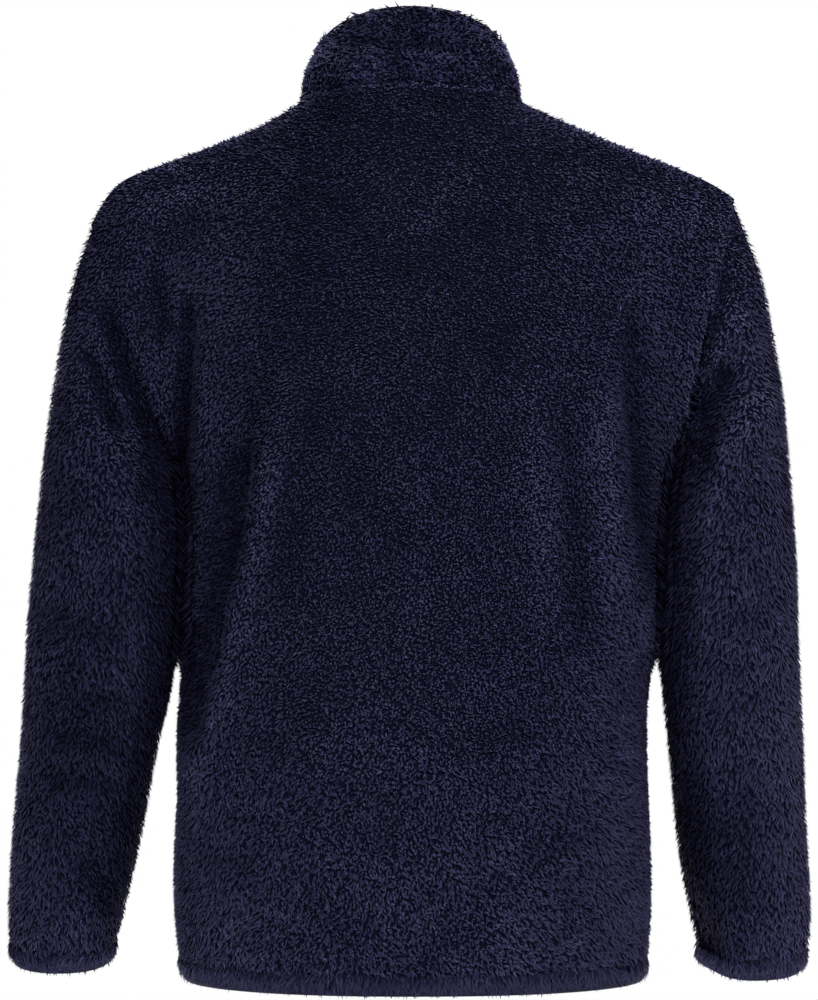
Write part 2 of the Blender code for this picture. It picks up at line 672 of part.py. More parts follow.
def build_cloth(nets):
    """The cloth pieces and their bindings. Returns the inner nets, which the zip is set against."""
    normals = shared_normals(nets)
    faces = {}
    for name, net in nets.items():
        pressed = (-1, -2) if name.startswith("sleeve") else () if name == "collar" else (0, 1)
        faces[name] = two_faces(net, normals[name], pressed)
    seams = {
        "back": "left right top",
        "front_left": "right top",
        "front_right": "left top",
        "collar": "bottom",
        "sleeve_left": "bottom",
        "sleeve_right": "bottom",
    }
    titles = {"back": "back_panel", "front_left": "front_panel_left", "front_right": "front_panel_right"}
    for name, (outer, inner) in faces.items():
        crown = None
        if name == "collar":
            middle = [(a + b) / 2 for a, b in zip(outer[-1], inner[-1])]
            rise = [(a - b).normalized() * COLLAR_CROWN for a, b in zip(outer[-1], outer[-2])]
            crown = [m + up for m, up in zip(middle, rise)]
        wall(
            titles.get(name, name),
            drawn_in(outer, seams[name]),
            drawn_in(inner, seams[name]),
            "fleece",
            closed=name.startswith("sleeve"),
            crown=crown,
        )
    order = ("front_left", "back", "front_right")
    edge, above, out = [], [], []
    for name in order:
        skip = 1 if edge else 0
        edge += nets[name][0][skip:]
        above += nets[name][1][skip:]
        out += normals[name][0][skip:]
    swept("hem_binding", binding_rings(edge, above, out), "edge_tape")
    for name in ("left", "right"):
        net, line = nets["sleeve_" + name], normals["sleeve_" + name]
        rings = binding_rings(net[-1], net[-2], line[-1])
        swept("cuff_binding_" + name, rings, "edge_tape", closed=True)
    return faces


# ---------------------------------------------------------------- the zip
def zip_line(faces):
    """Places down the middle of the front, from the hem to the collar's top: (point on the cloth's inner
    face in the middle plane, outward direction, upward direction)."""
    left = [row[0] for row in faces["front_left"][1]] + [row[0] for row in faces["collar"][1][1:]]
    places = []
    for k, point in enumerate(left):
        low, high = left[max(k - 1, 0)], left[min(k + 1, len(left) - 1)]
        up = Vector((0, high.y - low.y, high.z - low.z)).normalized()
        places.append((Vector((0, point.y, point.z)), Vector((0, -up.z, up.y)), up))
    return places


def build_tape(name, edge, beside, starts, side):
    """A zip tape behind a front's edge. edge and beside are the first two columns of the cloth's inner face,
    each row with its outward direction, and starts gives the tape's far side in each row."""
    rings = []
    for (at, out), (next_at, next_out), far in zip(edge, beside, starts):
        across = (next_at - at).length
        reach = far - FRONT_GAP
        turn = at.lerp(next_at, max(0.0, reach) / across)
        turn_out = out.lerp(next_out, max(0.0, reach) / across)
        flat = Vector((0, out.y, out.z)).normalized()
        stations = [(Vector((side * TAPE_NEAR, at.y, at.z)), flat), (at + Vector((side * min(reach, 0.0), 0, 0)), flat)]
        if reach > 0:
            stations.append((turn, turn_out.normalized()))
        else:
            stations.append((stations[1][0] + Vector((side * 0.0004, 0, 0)), flat))
        face = [p - n * SEAM_GAP for p, n in stations]
        back = [p - n * (SEAM_GAP + TAPE_THICK) for p, n in stations]
        rings.append(face + back[::-1])
    return swept(name, rings, "zip_tape")


def placed(item, at, up, out):
    """Turns a bmesh or a mesh from its own frame (x across, y inwards, z up) into place."""
    frame = Matrix((Vector((1, 0, 0)), -out, up)).transposed().to_4x4()
    frame.translation = at
    if isinstance(item, bpy.types.Mesh):
        item.transform(frame)
    else:
        bmesh.ops.transform(item, matrix=frame, verts=item.verts)


def block(bm, centre, size, bevel=0.0):
    """Adds a box to a bmesh, with its edges bevelled."""
    made = bmesh.ops.create_cube(bm, size=1.0)["verts"]
    bmesh.ops.scale(bm, vec=size, verts=made)
    bmesh.ops.translate(bm, vec=centre, verts=made)
    if bevel:
        edges = list({e for v in made for e in v.link_edges})
        bmesh.ops.bevel(bm, geom=edges, offset=bevel, segments=1, profile=0.5, affect="EDGES")


def joined(name, pieces, colour):
    """One object made of overlapping pieces by Boolean unions, applied one after the other. The unions are
    made a thousand times larger, since the solver's own tolerance is not small beside a slider."""
    for bm in pieces:
        bmesh.ops.scale(bm, vec=(1000, 1000, 1000), verts=bm.verts)
    first, *others = [new_object(f"{name}_{k}", bm, colour) for k, bm in enumerate(pieces)]
    for other in others:
        union = first.modifiers.new("join", "BOOLEAN")
        union.operation = "UNION"
        union.object = other
        graph = bpy.context.evaluated_depsgraph_get()
        mesh = bpy.data.meshes.new_from_object(first.evaluated_get(graph))
        first.modifiers.clear()
        first.data = mesh
        bpy.data.objects.remove(other)
    first.name = name
    first.data.name = name
    first.data.transform(Matrix.Scale(0.001, 4))
    return first


def build_slider(at, up, out):
    """The slider: two plates, the post that joins them and the bow that carries the pull. at lies on the
    tapes' front face, in the middle."""
    front_y = -(SEAM_GAP + CHAIN_THICK + SEAM_GAP)
    back_y = TAPE_THICK + SEAM_GAP
    plate = (2 * SLIDER_HALF, SLIDER_PLATE, SLIDER_LONG)
    pieces = []

    def add(centre, size, bevel):
        bm = bmesh.new()
        block(bm, centre, size, bevel)
        pieces.append(bm)

    add((0, front_y - SLIDER_PLATE / 2, 0), plate, 0.0004)
    add((0, back_y + SLIDER_PLATE / 2, 0), plate, 0.0004)
    post_top = SLIDER_LONG / 2 - 0.0004
    deep = back_y - front_y + SLIDER_PLATE
    add((0, (front_y + back_y) / 2, post_top - POST_LONG / 2), (2 * POST_HALF, deep, POST_LONG), 0.0)
    for side in (1, -1):
        lip = (side * (SLIDER_HALF - 0.0007), front_y + 0.0002, 0)
        add(lip, (0.0008, 0.0016, SLIDER_LONG - 0.0014), 0.0)
    top = front_y - SLIDER_PLATE
    for end in (1, -1):
        add((0, top - BOW_REACH / 2 + 0.0005, end * 0.0037), (1.7 * BOW_HALF, BOW_REACH, 0.0013), 0.0)
    add((0, top - BOW_REACH + 0.0006, 0), (2 * BOW_HALF, 0.0012, 0.0092), 0.0003)
    slider = joined("zip_slider", pieces, "zip_metal")
    placed(slider.data, at, up, out)
    return at + out * (-top + 0.0004 + PIN_RADIUS)


def build_pull(pivot, out):
    """The pull, hanging straight down from its pin, which passes under the slider's bow."""
    pieces = []
    bm = bmesh.new()
    bmesh.ops.create_cone(
        bm, cap_ends=True, segments=12, radius1=PIN_RADIUS, radius2=PIN_RADIUS, depth=2 * PULL_HALF - 0.0004
    )
    bmesh.ops.rotate(bm, matrix=Matrix.Rotation(math.pi / 2, 3, "Y"), verts=bm.verts)
    pieces.append(bm)
    thick = 2 * PIN_RADIUS
    for side in (1, -1):
        bm = bmesh.new()
        x = side * (PULL_HALF - 0.0001 - PULL_ARM / 2)
        block(bm, (x, 0, -PULL_WINDOW / 2 + 0.0001), (PULL_ARM, 0.9 * thick, PULL_WINDOW + 0.0016))
        pieces.append(bm)
    bm = bmesh.new()
    long = PULL_LONG - PULL_WINDOW
    block(bm, (0, 0, -PULL_WINDOW - long / 2 + 0.0004), (2 * PULL_HALF, thick, long), 0.0004)
    pieces.append(bm)
    pull = joined("zip_pull", pieces, "zip_metal")
    placed(pull.data, pivot, Vector((0, 0, 1)), Vector((0, -1, 0)))


def tape_columns(faces, name):
    """The first two columns of the inner face by the zip, with outward directions, and the tape's far side.
    Beside the hem's binding the tape is cut back to the gap between the fronts."""
    columns = []
    collar = faces["collar"]
    for c in (0, 1):
        at = c if name == "left" else -1 - c
        rows = list(zip(*faces["front_" + name])) + list(zip(*collar))[1:-1]
        ends = [(outer[at], inner[at]) for outer, inner in rows]
        columns.append([(b, (a - b).normalized()) for a, b in ends])
    top = tuple(zip(*collar))[-1]
    for c, column in enumerate(columns):
        at = c if name == "left" else -1 - c
        last, out = column[-1]
        column.append((last.lerp(top[1][at], 0.75), out))
    narrow = FRONT_GAP - 0.0009
    edge, beside = columns
    for column in (edge, beside):
        low, out = column[1]
        high = column[2][0]
        rise = (high - low).normalized()
        column[0] = (column[0][0].lerp(low, 0.1), column[0][1])
        column[1] = (low + rise * 0.0004, out)
        column.insert(2, (low + rise * 0.0010, out))
    far = [narrow, narrow] + [TAPE_FAR] * (len(edge) - 2)
    return edge, beside, far


def build_zip(faces):
    places = zip_line(faces)
    lengths = [0.0]
    for a, b in zip(places, places[1:]):
        lengths.append(lengths[-1] + (b[0] - a[0]).length)

    def place_at(length):
        k = next(i for i in range(1, len(lengths)) if lengths[i] >= length - 1e-9)
        share = (length - lengths[k - 1]) / (lengths[k] - lengths[k - 1])
        return tuple(a.lerp(b, share) for a, b in zip(places[k - 1], places[k]))

    def between(start, end):
        inside = [p for p, at in zip(places, lengths) if start + 0.001 < at < end - 0.001]
        return [place_at(start), *inside, place_at(end)]

    total = lengths[-1]
    tape_front = SEAM_GAP
    for side, name in ((1, "left"), (-1, "right")):
        build_tape("zip_tape_" + name, *tape_columns(faces, name), side)
    slider_at = total - SLIDER_BELOW_TOP
    chain_end = slider_at + SLIDER_LONG / 2 - POST_LONG - 0.0004 - SEAM_GAP
    near = tape_front - SEAM_GAP - CHAIN_THICK
    rings = []
    for middle, out, _ in between(BOX_LONG + 0.003, chain_end):
        corners = ((-CHAIN_HALF, near), (CHAIN_HALF, near), (CHAIN_HALF, near + CHAIN_THICK), (-CHAIN_HALF, near + CHAIN_THICK))
        rings.append([middle + Vector((x, 0, 0)) - out * deep for x, deep in corners])
    swept("zip_chain", rings, "zip_teeth")

    middle, out, up = place_at(0.0025 + BOX_LONG / 2)
    bm = bmesh.new()
    block(bm, (0, near + CHAIN_THICK - 0.0015, 0), (0.0090, 0.0030, BOX_LONG), 0.0006)
    placed(bm, middle, up, out)
    new_object("zip_box", bm, "zip_metal")

    stop_at = slider_at + SLIDER_LONG / 2 + SEAM_GAP + STOP_LONG / 2
    middle, out, up = place_at(stop_at)
    for side, name in ((1, "left"), (-1, "right")):
        bm = bmesh.new()
        block(bm, (side * 0.0026, near + CHAIN_THICK - 0.0008, 0), (0.0020, 0.0016, STOP_LONG), 0.0003)
        placed(bm, middle, up, out)
        new_object("zip_stop_" + name, bm, "zip_metal")

    middle, out, up = place_at(slider_at)
    pivot = build_slider(middle - out * tape_front, up, out)
    build_pull(pivot, out)
    print("pull pivot", [round(c, 6) for c in pivot])


# ---------------------------------------------------------------- run
for old in list(bpy.data.objects):
    bpy.data.objects.remove(old)

JACKET = bpy.data.collections.new("fleece_jacket")
bpy.context.scene.collection.children.link(JACKET)

MATERIALS = {}
for label, (colour, roughness, metallic) in COLOURS.items():
    material = bpy.data.materials.new(label)
    material.use_nodes = True
    shader = material.node_tree.nodes["Principled BSDF"]
    shader.inputs["Base Color"].default_value = colour
    shader.inputs["Roughness"].default_value = roughness
    shader.inputs["Metallic"].default_value = metallic
    MATERIALS[label] = material

NETS = build_nets()
add_folds(NETS)
FACES = build_cloth(NETS)
build_zip(FACES)
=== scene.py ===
import math

import bmesh
import bpy
import numpy as np
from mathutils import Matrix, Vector
from mathutils.bvhtree import BVHTree


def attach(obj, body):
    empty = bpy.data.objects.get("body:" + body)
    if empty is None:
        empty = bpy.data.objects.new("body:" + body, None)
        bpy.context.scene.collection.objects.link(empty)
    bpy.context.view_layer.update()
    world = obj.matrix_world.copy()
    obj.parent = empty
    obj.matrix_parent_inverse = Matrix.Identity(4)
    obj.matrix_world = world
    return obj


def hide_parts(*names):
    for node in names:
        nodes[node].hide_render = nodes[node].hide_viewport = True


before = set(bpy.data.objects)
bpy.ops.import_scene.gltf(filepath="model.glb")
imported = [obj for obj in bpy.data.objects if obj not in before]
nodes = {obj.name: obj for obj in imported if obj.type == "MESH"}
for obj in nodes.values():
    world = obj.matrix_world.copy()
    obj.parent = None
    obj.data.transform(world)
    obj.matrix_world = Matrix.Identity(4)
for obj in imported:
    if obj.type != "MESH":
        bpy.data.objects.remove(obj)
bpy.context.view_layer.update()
jacket = "jacket"
dice = np.random.default_rng(7)
print("frame loaded,", len(nodes), "nodes")

# Cloth: a knitted ground inside each panel's wall, with its pile standing out to the wall's outer face
cloth = {
    "groundAt": 0.60,          # share of the wall from its outer face in to the ground
    "wallFaces": (0.86, 0.95, 0.90),   # how nearly a wall's two sides look away from each other
    "wallMost": 0.0115,        # the thickest wall, metres
    "weld": 2e-5,              # corners nearer than this are one
    "turned": -0.3,            # corners that look away from each other by more than this are across an edge
    "flat": 0.7,               # two triangles that bend less than this join into one face, radians
    "levels": 2,
    "thickness": 0.0012,
    "allowance": 0.0014,       # how far the ground runs on past a seam
    "dip": 0.0003,             # and how far it drops there
    "tuck": 0.0004,            # then it turns in and back by this
    "allowanceDeep": 0.0022,
    "foldEnd": 0.12,           # a fold runs on by this share of its length
    "foldFade": 0.30,          # and fades over this share
    "sideways": 0.05,          # a place that looks more sideways than this has no fold
    "sideFade": 0.5,
}

# Fine folds, seen square on: start, end, half width, height. The broad folds are the panels' own.
foldsBack = [
    # x0      z0      x1      z1     across  out
    (0.203, -0.132, 0.192, -0.196, 0.0080, -0.0060),
    (0.176, -0.160, 0.181, -0.290, 0.0075, -0.0095),
    (0.164, -0.205, 0.172, -0.300, 0.0110, 0.0025),
    (0.188, -0.145, 0.179, -0.205, 0.0070, 0.0030),
    (0.134, -0.280, 0.148, -0.400, 0.0145, -0.0115),
    (0.150, -0.400, 0.176, -0.510, 0.0120, -0.0130),
    (0.088, -0.225, 0.108, -0.290, 0.0130, 0.0035),
    (0.109, -0.290, 0.120, -0.352, 0.0120, 0.0065),
    (0.120, -0.352, 0.144, -0.440, 0.0120, 0.0070),
    (0.146, -0.440, 0.174, -0.546, 0.0120, 0.0050),
    (0.186, -0.418, 0.150, -0.446, 0.0070, -0.0040),
    (-0.172, -0.175, -0.182, -0.370, 0.0100, -0.0070),
    (-0.190, -0.350, -0.196, -0.430, 0.0080, -0.0030),
    (-0.118, -0.250, -0.136, -0.440, 0.0130, -0.0056),
    (-0.148, -0.240, -0.166, -0.400, 0.0100, 0.0032),
    (-0.090, -0.215, -0.099, -0.370, 0.0130, 0.0026),
    (-0.178, -0.400, -0.192, -0.440, 0.0090, 0.0030),
    (0.080, -0.235, 0.098, -0.400, 0.0140, -0.0030),
    (0.040, -0.300, 0.052, -0.400, 0.0140, -0.0022),
    (0.010, -0.330, 0.020, -0.420, 0.0160, -0.0018),
    (0.160, -0.600, 0.060, -0.625, 0.0150, -0.0022),
    (-0.150, -0.560, -0.040, -0.640, 0.0150, -0.0022),
    (-0.120, -0.470, -0.030, -0.520, 0.0160, -0.0018),
    (0.150, -0.080, 0.196, -0.132, 0.0120, -0.0030),
]
foldsArmhole = [
    # the seam that shows on the wearer's right: its groove, and the turned edge beside it
    (-0.263, -0.086, -0.253, -0.122, 0.0042, -0.0050),
    (-0.253, -0.122, -0.243, -0.174, 0.0042, -0.0050),
    (-0.243, -0.174, -0.231, -0.202, 0.0042, -0.0050),
    (-0.231, -0.202, -0.219, -0.270, 0.0040, -0.0022),
    (-0.253, -0.088, -0.243, -0.125, 0.0050, 0.0026),
    (-0.243, -0.125, -0.233, -0.176, 0.0050, 0.0030),
    (-0.233, -0.176, -0.212, -0.270, 0.0050, 0.0022),
]
foldsSleeveBack = [
    (0.242, -0.168, 0.192, -0.290, 0.0075, -0.0095),
    (0.258, -0.202, 0.224, -0.270, 0.0080, -0.0085),
    (0.226, -0.174, 0.196, -0.250, 0.0080, 0.0035),
    (0.250, -0.196, 0.222, -0.258, 0.0060, 0.0025),
    (0.300, -0.404, 0.225, -0.430, 0.0110, -0.0030),
    (0.285, -0.505, 0.225, -0.512, 0.0090, -0.0035),
    (0.290, -0.538, 0.232, -0.546, 0.0090, -0.0035),
    (0.282, -0.470, 0.222, -0.480, 0.0090, -0.0028),
    (0.262, -0.600, 0.232, -0.650, 0.0100, -0.0030),
    (-0.262, -0.108, -0.248, -0.158, 0.0080, -0.0050),
    (-0.250, -0.214, -0.222, -0.258, 0.0090, -0.0075),
    (-0.240, -0.262, -0.216, -0.300, 0.0085, -0.0030),
    (-0.266, -0.176, -0.232, -0.206, 0.0080, 0.0055),
    (-0.286, -0.238, -0.238, -0.286, 0.0090, 0.0060),
    (-0.222, -0.640, -0.242, -0.690, 0.0100, -0.0055),
    (-0.290, -0.470, -0.230, -0.490, 0.0100, -0.0025),
    (-0.296, -0.400, -0.236, -0.416, 0.0110, -0.0025),
]
foldsFront = [
    (0.170, -0.215, 0.150, -0.400, 0.0110, -0.0055),
    (-0.172, -0.205, -0.158, -0.400, 0.0110, -0.0055),
    (0.196, -0.150, 0.176, -0.270, 0.0080, -0.0050),
    (-0.224, -0.150, -0.205, -0.270, 0.0080, -0.0050),
    (0.120, -0.250, 0.090, -0.420, 0.0130, 0.0030),
    (-0.110, -0.260, -0.080, -0.440, 0.0130, 0.0030),
]
foldsSleeveFront = [
    (0.250, -0.180, 0.204, -0.276, 0.0085, -0.0060),
    (-0.262, -0.172, -0.216, -0.270, 0.0085, -0.0060),
    (0.290, -0.428, 0.205, -0.452, 0.0090, -0.0040),
    (-0.296, -0.440, -0.208, -0.456, 0.0090, -0.0040),
    (0.294, -0.480, 0.212, -0.498, 0.0090, 0.0026),
    (-0.298, -0.486, -0.214, -0.500, 0.0090, 0.0026),
]
foldsCollar = [
    (0.056, 0.040, -0.044, 0.030, 0.0050, -0.0034),
    (-0.044, 0.030, -0.080, 0.015, 0.0050, -0.0034),
    (0.080, 0.020, -0.055, 0.018, 0.0060, 0.0016),
    (0.089, 0.002, 0.010, 0.008, 0.0040, -0.0034),
    (0.010, 0.008, -0.089, 0.002, 0.0040, -0.0034),
    (0.074, 0.052, 0.030, 0.050, 0.0050, -0.0014),
]


def softStep(t):
    t = np.clip(t, 0, 1)
    return t * t * (3 - 2 * t)


def unit(vectors):
    return vectors / np.maximum(np.linalg.norm(vectors, axis=-1), 1e-9)[..., None]


def foldHeight(points, folds):
    total = np.zeros(len(points))
    for x0, z0, x1, z1, across, out in folds:
        run = np.array([x1 - x0, z1 - z0])
        place = points[:, [0, 2]] - [x0, z0]
        along = place @ run / (run @ run)
        off = (place[:, 0] * -run[1] + place[:, 1] * run[0]) / np.hypot(*run)
        ends = softStep((along + cloth["foldEnd"]) / cloth["foldFade"])
        ends = ends * softStep((1 + cloth["foldEnd"] - along) / cloth["foldFade"])
        total += out * ends * np.exp(-((off / across) ** 2))
    return total


def creased(points, normals, behind, before):
    # the folds of the side that a place looks to, faded out where it looks sideways
    toBack = softStep((normals[:, 1] - cloth["sideways"]) / cloth["sideFade"])
    toFront = softStep((-normals[:, 1] - cloth["sideways"]) / cloth["sideFade"])
    return toBack * foldHeight(points, behind) + toFront * foldHeight(points, before)


def softNoise(points, size, seed, waves=14):
    # a smooth field of about -1 to 1 with patches of about this size
    rng = np.random.default_rng(seed)
    total = np.zeros(len(points))
    for _ in range(waves):
        direction = unit(rng.normal(size=3))
        pace = 2 * math.pi / (size * rng.uniform(1.4, 3.0))
        total += np.sin(points @ direction * pace + rng.uniform(0, 2 * math.pi))
    return total / math.sqrt(waves / 2) / 1.6


def placed(title, mesh, material):
    mesh.materials.append(material)
    made = bpy.data.objects.new(title, mesh)
    bpy.context.collection.objects.link(made)
    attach(made, jacket)
    return made


def newObject(name, bm, material):
    mesh = bpy.data.meshes.new(name)
    bm.to_mesh(mesh)
    bm.free()
    return placed(name, mesh, material)


def mergedCopy(node):
    bm = bmesh.new()
    bm.from_mesh(nodes[node].data)
    bmesh.ops.remove_doubles(bm, verts=bm.verts, dist=cloth["weld"])
    bmesh.ops.dissolve_degenerate(bm, edges=bm.edges, dist=1e-6)
    bm.verts.ensure_lookup_table()
    bm.faces.ensure_lookup_table()
    bm.normal_update()
    return bm


def wallSides(bm, facing):
    # the outer and the inner faces of a wall. An edge strip's faces join corners that look opposite ways
    tree = BVHTree.FromBMesh(bm)
    looks = {}
    for face in bm.faces:
        start = face.calc_center_median() - face.normal * 1e-5
        hit, normal, _, _ = tree.ray_cast(start, -face.normal, cloth["wallMost"])
        if hit and normal.dot(face.normal) < -facing:
            for v in face.verts:
                looks[v] = looks.get(v, Vector()) + face.normal * face.calc_area()
    looks = {v: look.normalized() for v, look in looks.items()}
    middle = sum((v.co for v in bm.verts), Vector()) / len(bm.verts)
    for v in [v for v in bm.verts if v not in looks]:      # along a rounded top edge
        beside = [looks[e.other_vert(v)] for e in v.link_edges if e.other_vert(v) in looks]
        looks[v] = max(beside, key=lambda look: look.dot(v.co - middle), default=Vector())
    seen = set()
    for face in bm.faces:
        ways = [looks[v] for v in face.verts]
        if any(ways[k].dot(ways[k - 1]) < cloth["turned"] for k in range(3)):
            seen.add(face)
    groups = []
    for start in bm.faces:
        if start in seen:
            continue
        seen.add(start)
        group, queue = [], [start]
        while queue:
            face = queue.pop()
            group.append(face)
            for edge in face.edges:
                for other in edge.link_faces:
                    if other not in seen:
                        seen.add(other)
                        queue.append(other)
        groups.append(group)
    return (sorted(groups, key=len, reverse=True) + [[]])[:2]


def facesOut(group):
    # above 0 for the outer side of a bent sheet or a tube
    middle = sum((f.calc_center_median() for f in group), Vector()) / len(group)
    return sum(f.normal.dot(f.calc_center_median() - middle) * f.calc_area() for f in group)


def joinPairs(bm):
    # triangles back to quads: first the pairs whose four corners are squarest
    bm.edges.index_update()
    bm.faces.index_update()
    scored = []
    for edge in bm.edges:
        if len(edge.link_faces) != 2 or edge.calc_face_angle() > cloth["flat"]:
            continue
        far = [v for f in edge.link_faces for v in f.verts if v not in edge.verts]
        quad = [edge.verts[0].co, far[0].co, edge.verts[1].co, far[1].co]
        turns = [(quad[k - 1] - quad[k]).angle(quad[(k + 1) % 4] - quad[k], 0.0) for k in range(4)]
        skew = sum(abs(turn - math.pi / 2) for turn in turns)
        scored.append((skew, edge.index, edge, [f.index for f in edge.link_faces]))
    used, chosen = set(), []
    for _, _, edge, pair in sorted(scored, key=lambda row: row[:2]):
        if not used & set(pair):
            used |= set(pair)
            chosen.append(edge)
    bmesh.ops.dissolve_edges(bm, edges=chosen, use_verts=False)


def finer(bm, levels):
    # the smooth surface through a sheet's net, as a mesh
    mesh = bpy.data.meshes.new("net")
    bm.to_mesh(mesh)
    net = bpy.data.objects.new("net", mesh)
    bpy.context.collection.objects.link(net)
    smooth = net.modifiers.new("smooth", "SUBSURF")
    smooth.levels = smooth.render_levels = levels
    smooth.boundary_smooth = "PRESERVE_CORNERS"
    made = bpy.data.meshes.new_from_object(net.evaluated_get(bpy.context.evaluated_depsgraph_get()))
    bpy.data.objects.remove(net)
    return made


def placesOf(mesh):
    points = np.empty(len(mesh.vertices) * 3)
    mesh.vertices.foreach_get("co", points)
    return points.reshape(-1, 3)


def groundAndTips(name):
    # a panel's ground and the surface that its pile reaches, as two smooth meshes with the same faces
    bm = mergedCopy(name)
    tries = [wallSides(bm, facing) for facing in cloth["wallFaces"]]
    evenest = min(tries, key=lambda sides: len(sides[0]) - len(sides[1]))
    outer, inner = sorted(evenest, key=facesOut, reverse=True)
    innerVerts = {v for f in inner for v in f.verts}
    innerFaces = [[v.index for v in f.verts] for f in inner]
    tree = BVHTree.FromPolygons([v.co.copy() for v in bm.verts], innerFaces)
    groundPlace = bm.verts.layers.float_vector.new("ground")
    for v in {v for f in outer for v in f.verts}:
        across = [e.other_vert(v).co for e in v.link_edges if e.other_vert(v) in innerVerts]
        if across:
            facing = min(across, key=lambda place: (place - v.co).length)
        else:
            facing = tree.find_nearest(v.co)[0]
        v[groundPlace] = v.co.lerp(facing, cloth["groundAt"])
    bmesh.ops.delete(bm, geom=list(set(bm.faces) - set(outer)), context="FACES")
    joinPairs(bm)
    tips = finer(bm, cloth["levels"])
    for v in bm.verts:
        v.co = v[groundPlace]
    ground = finer(bm, cloth["levels"])
    bm.free()
    print(name, "sides", len(outer), len(inner), "ground", len(ground.polygons), "faces")
    return ground, tips


def runOn(bm, along, deep):
    # one more row of faces past every open edge
    border = [e for e in bm.edges if e.is_boundary]
    ways = {}
    for edge in border:
        face = edge.link_faces[0]
        out = (edge.verts[1].co - edge.verts[0].co).cross(face.normal).normalized()
        if out.dot(edge.verts[0].co - face.calc_center_median()) < 0:
            out.negate()
        for v in edge.verts:
            way = ways.setdefault(v, [Vector(), Vector()])
            way[0] += out
            way[1] += face.normal
    made = bmesh.ops.extrude_edge_only(bm, edges=border)["geom"]
    for fresh in [g for g in made if isinstance(g, bmesh.types.BMVert)]:
        old = next(e.other_vert(fresh) for e in fresh.link_edges if e.other_vert(fresh) in ways)
        out, normal = ways[old]
        fresh.co += out.normalized() * along - normal.normalized() * deep
    bm.normal_update()


def groundShell(name, mesh, material):
    # the ground as a closed shell, run on past its seams and turned in there
    bm = bmesh.new()
    bm.from_mesh(mesh)
    bm.normal_update()
    runOn(bm, cloth["allowance"], cloth["dip"])
    runOn(bm, -cloth["tuck"], cloth["allowanceDeep"])
    shell = newObject(name + "_ground", bm, material)
    shell.data.shade_smooth()
    wall = shell.modifiers.new("wall", "SOLIDIFY")
    wall.thickness, wall.offset = cloth["thickness"], -1
    return shell


# Pile: soft locks that stand on the ground and lean over with the nap
pile = {
    "places": (
        "back_panel", "front_panel_left", "front_panel_right", "sleeve_left", "sleeve_right", "collar"),
    "most": 48000,                # locks in one piece
    "uneven": 0.3,                # how unevenly they stand on a face of the ground
    "leastHeight": 0.0017,        # where an edge tape presses the cloth flat, none stand
    "edgeHeight": 0.0020,         # beside a tape the pile falls over it, from this height
    "edgeFade": 0.0016,
    "edgeReach": 0.45,            # longer there by this share
    "fringe": 0.0010,             # and higher by this
    "backFall": 0.15,             # how much the nap of a level place falls to the back
    "patches": 0.24,              # turns of the nap in wide patches, radians
    "patchSize": 0.060,
    "swirls": 0.22,               # and in small ones
    "swirlSize": 0.016,
    "stray": 0.34,                # lock to lock
    "leanMore": 0.12,             # more and less lean in patches
    "leanSize": 0.030,
    "reach": (0.6, 1.4),          # shares of a panel's own length, width and height
    "wide": (0.7, 1.3),
    "tall": (0.70, 1.15),
    "tipAside": 0.45,
    "tipRise": (-0.30, 0.12),
    "clearOfZip": 0.0048,         # combed away from the zip, so that its pull swings clear
    "zipSide": 0.03,              # as far out as here
    "zipFront": -0.05,
}
gap = {                           # a gap between two panels that the pile of both fills
    "most": 0.0120,
    "outside": 0.14,              # it is at least this far out
    "top": -0.22,
    "bottom": -0.462,
    "fade": 0.03,
    "tall": 0.80,                 # shares of the gap that a lock is higher and longer by
    "reach": 0.9,
    "wide": 90,                   # wider, and darker with painted shade, for a metre of gap
    "paintedGapShade": 150,
}
tone = {                          # a lock's shade, 0 dark to 1 light: its tone at random, with painted light and shade
    "middle": 0.5,
    "patches": 0.05,
    "patchSize": 0.045,
    "specks": 0.03,
    "speckSize": 0.012,
    "stray": 0.10,
    "most": 1.5,
    "paintedShading": 0.34,               # painted shade in a fold, painted light on a ridge
    "creaseDepth": 0.006,
    "ridgeMost": 0.6,
    "shoulderLight": 0.9,             # painted light on the shoulders, which face up
    "shoulderRise": 0.20,
    "shoulderFade": 0.5,
    "armInsideShade": 1.1,             # painted shade inside the arms, which face the body
    "armTurn": 0.25,
    "armFade": 0.6,
    "toBack": 0.2,
}
napOf = {
    # area, length, width, rise, patches, stray
    "back_panel": (5.0e-6, 0.0054, 0.0024, 1.0, 1.0, 1.0),
    "front_panel_left": (8.1e-6, 0.0062, 0.0033, 1.0, 1.0, 1.0),
    "front_panel_right": (8.1e-6, 0.0062, 0.0033, 1.0, 1.0, 1.0),
    "sleeve_left": (6.0e-6, 0.0062, 0.0026, 1.0, 0.8, 0.8),
    "sleeve_right": (6.0e-6, 0.0064, 0.0026, 1.0, 0.8, 0.8),
    "collar": (4.6e-6, 0.0044, 0.0028, 1.10, 2.2, 2.2),
}
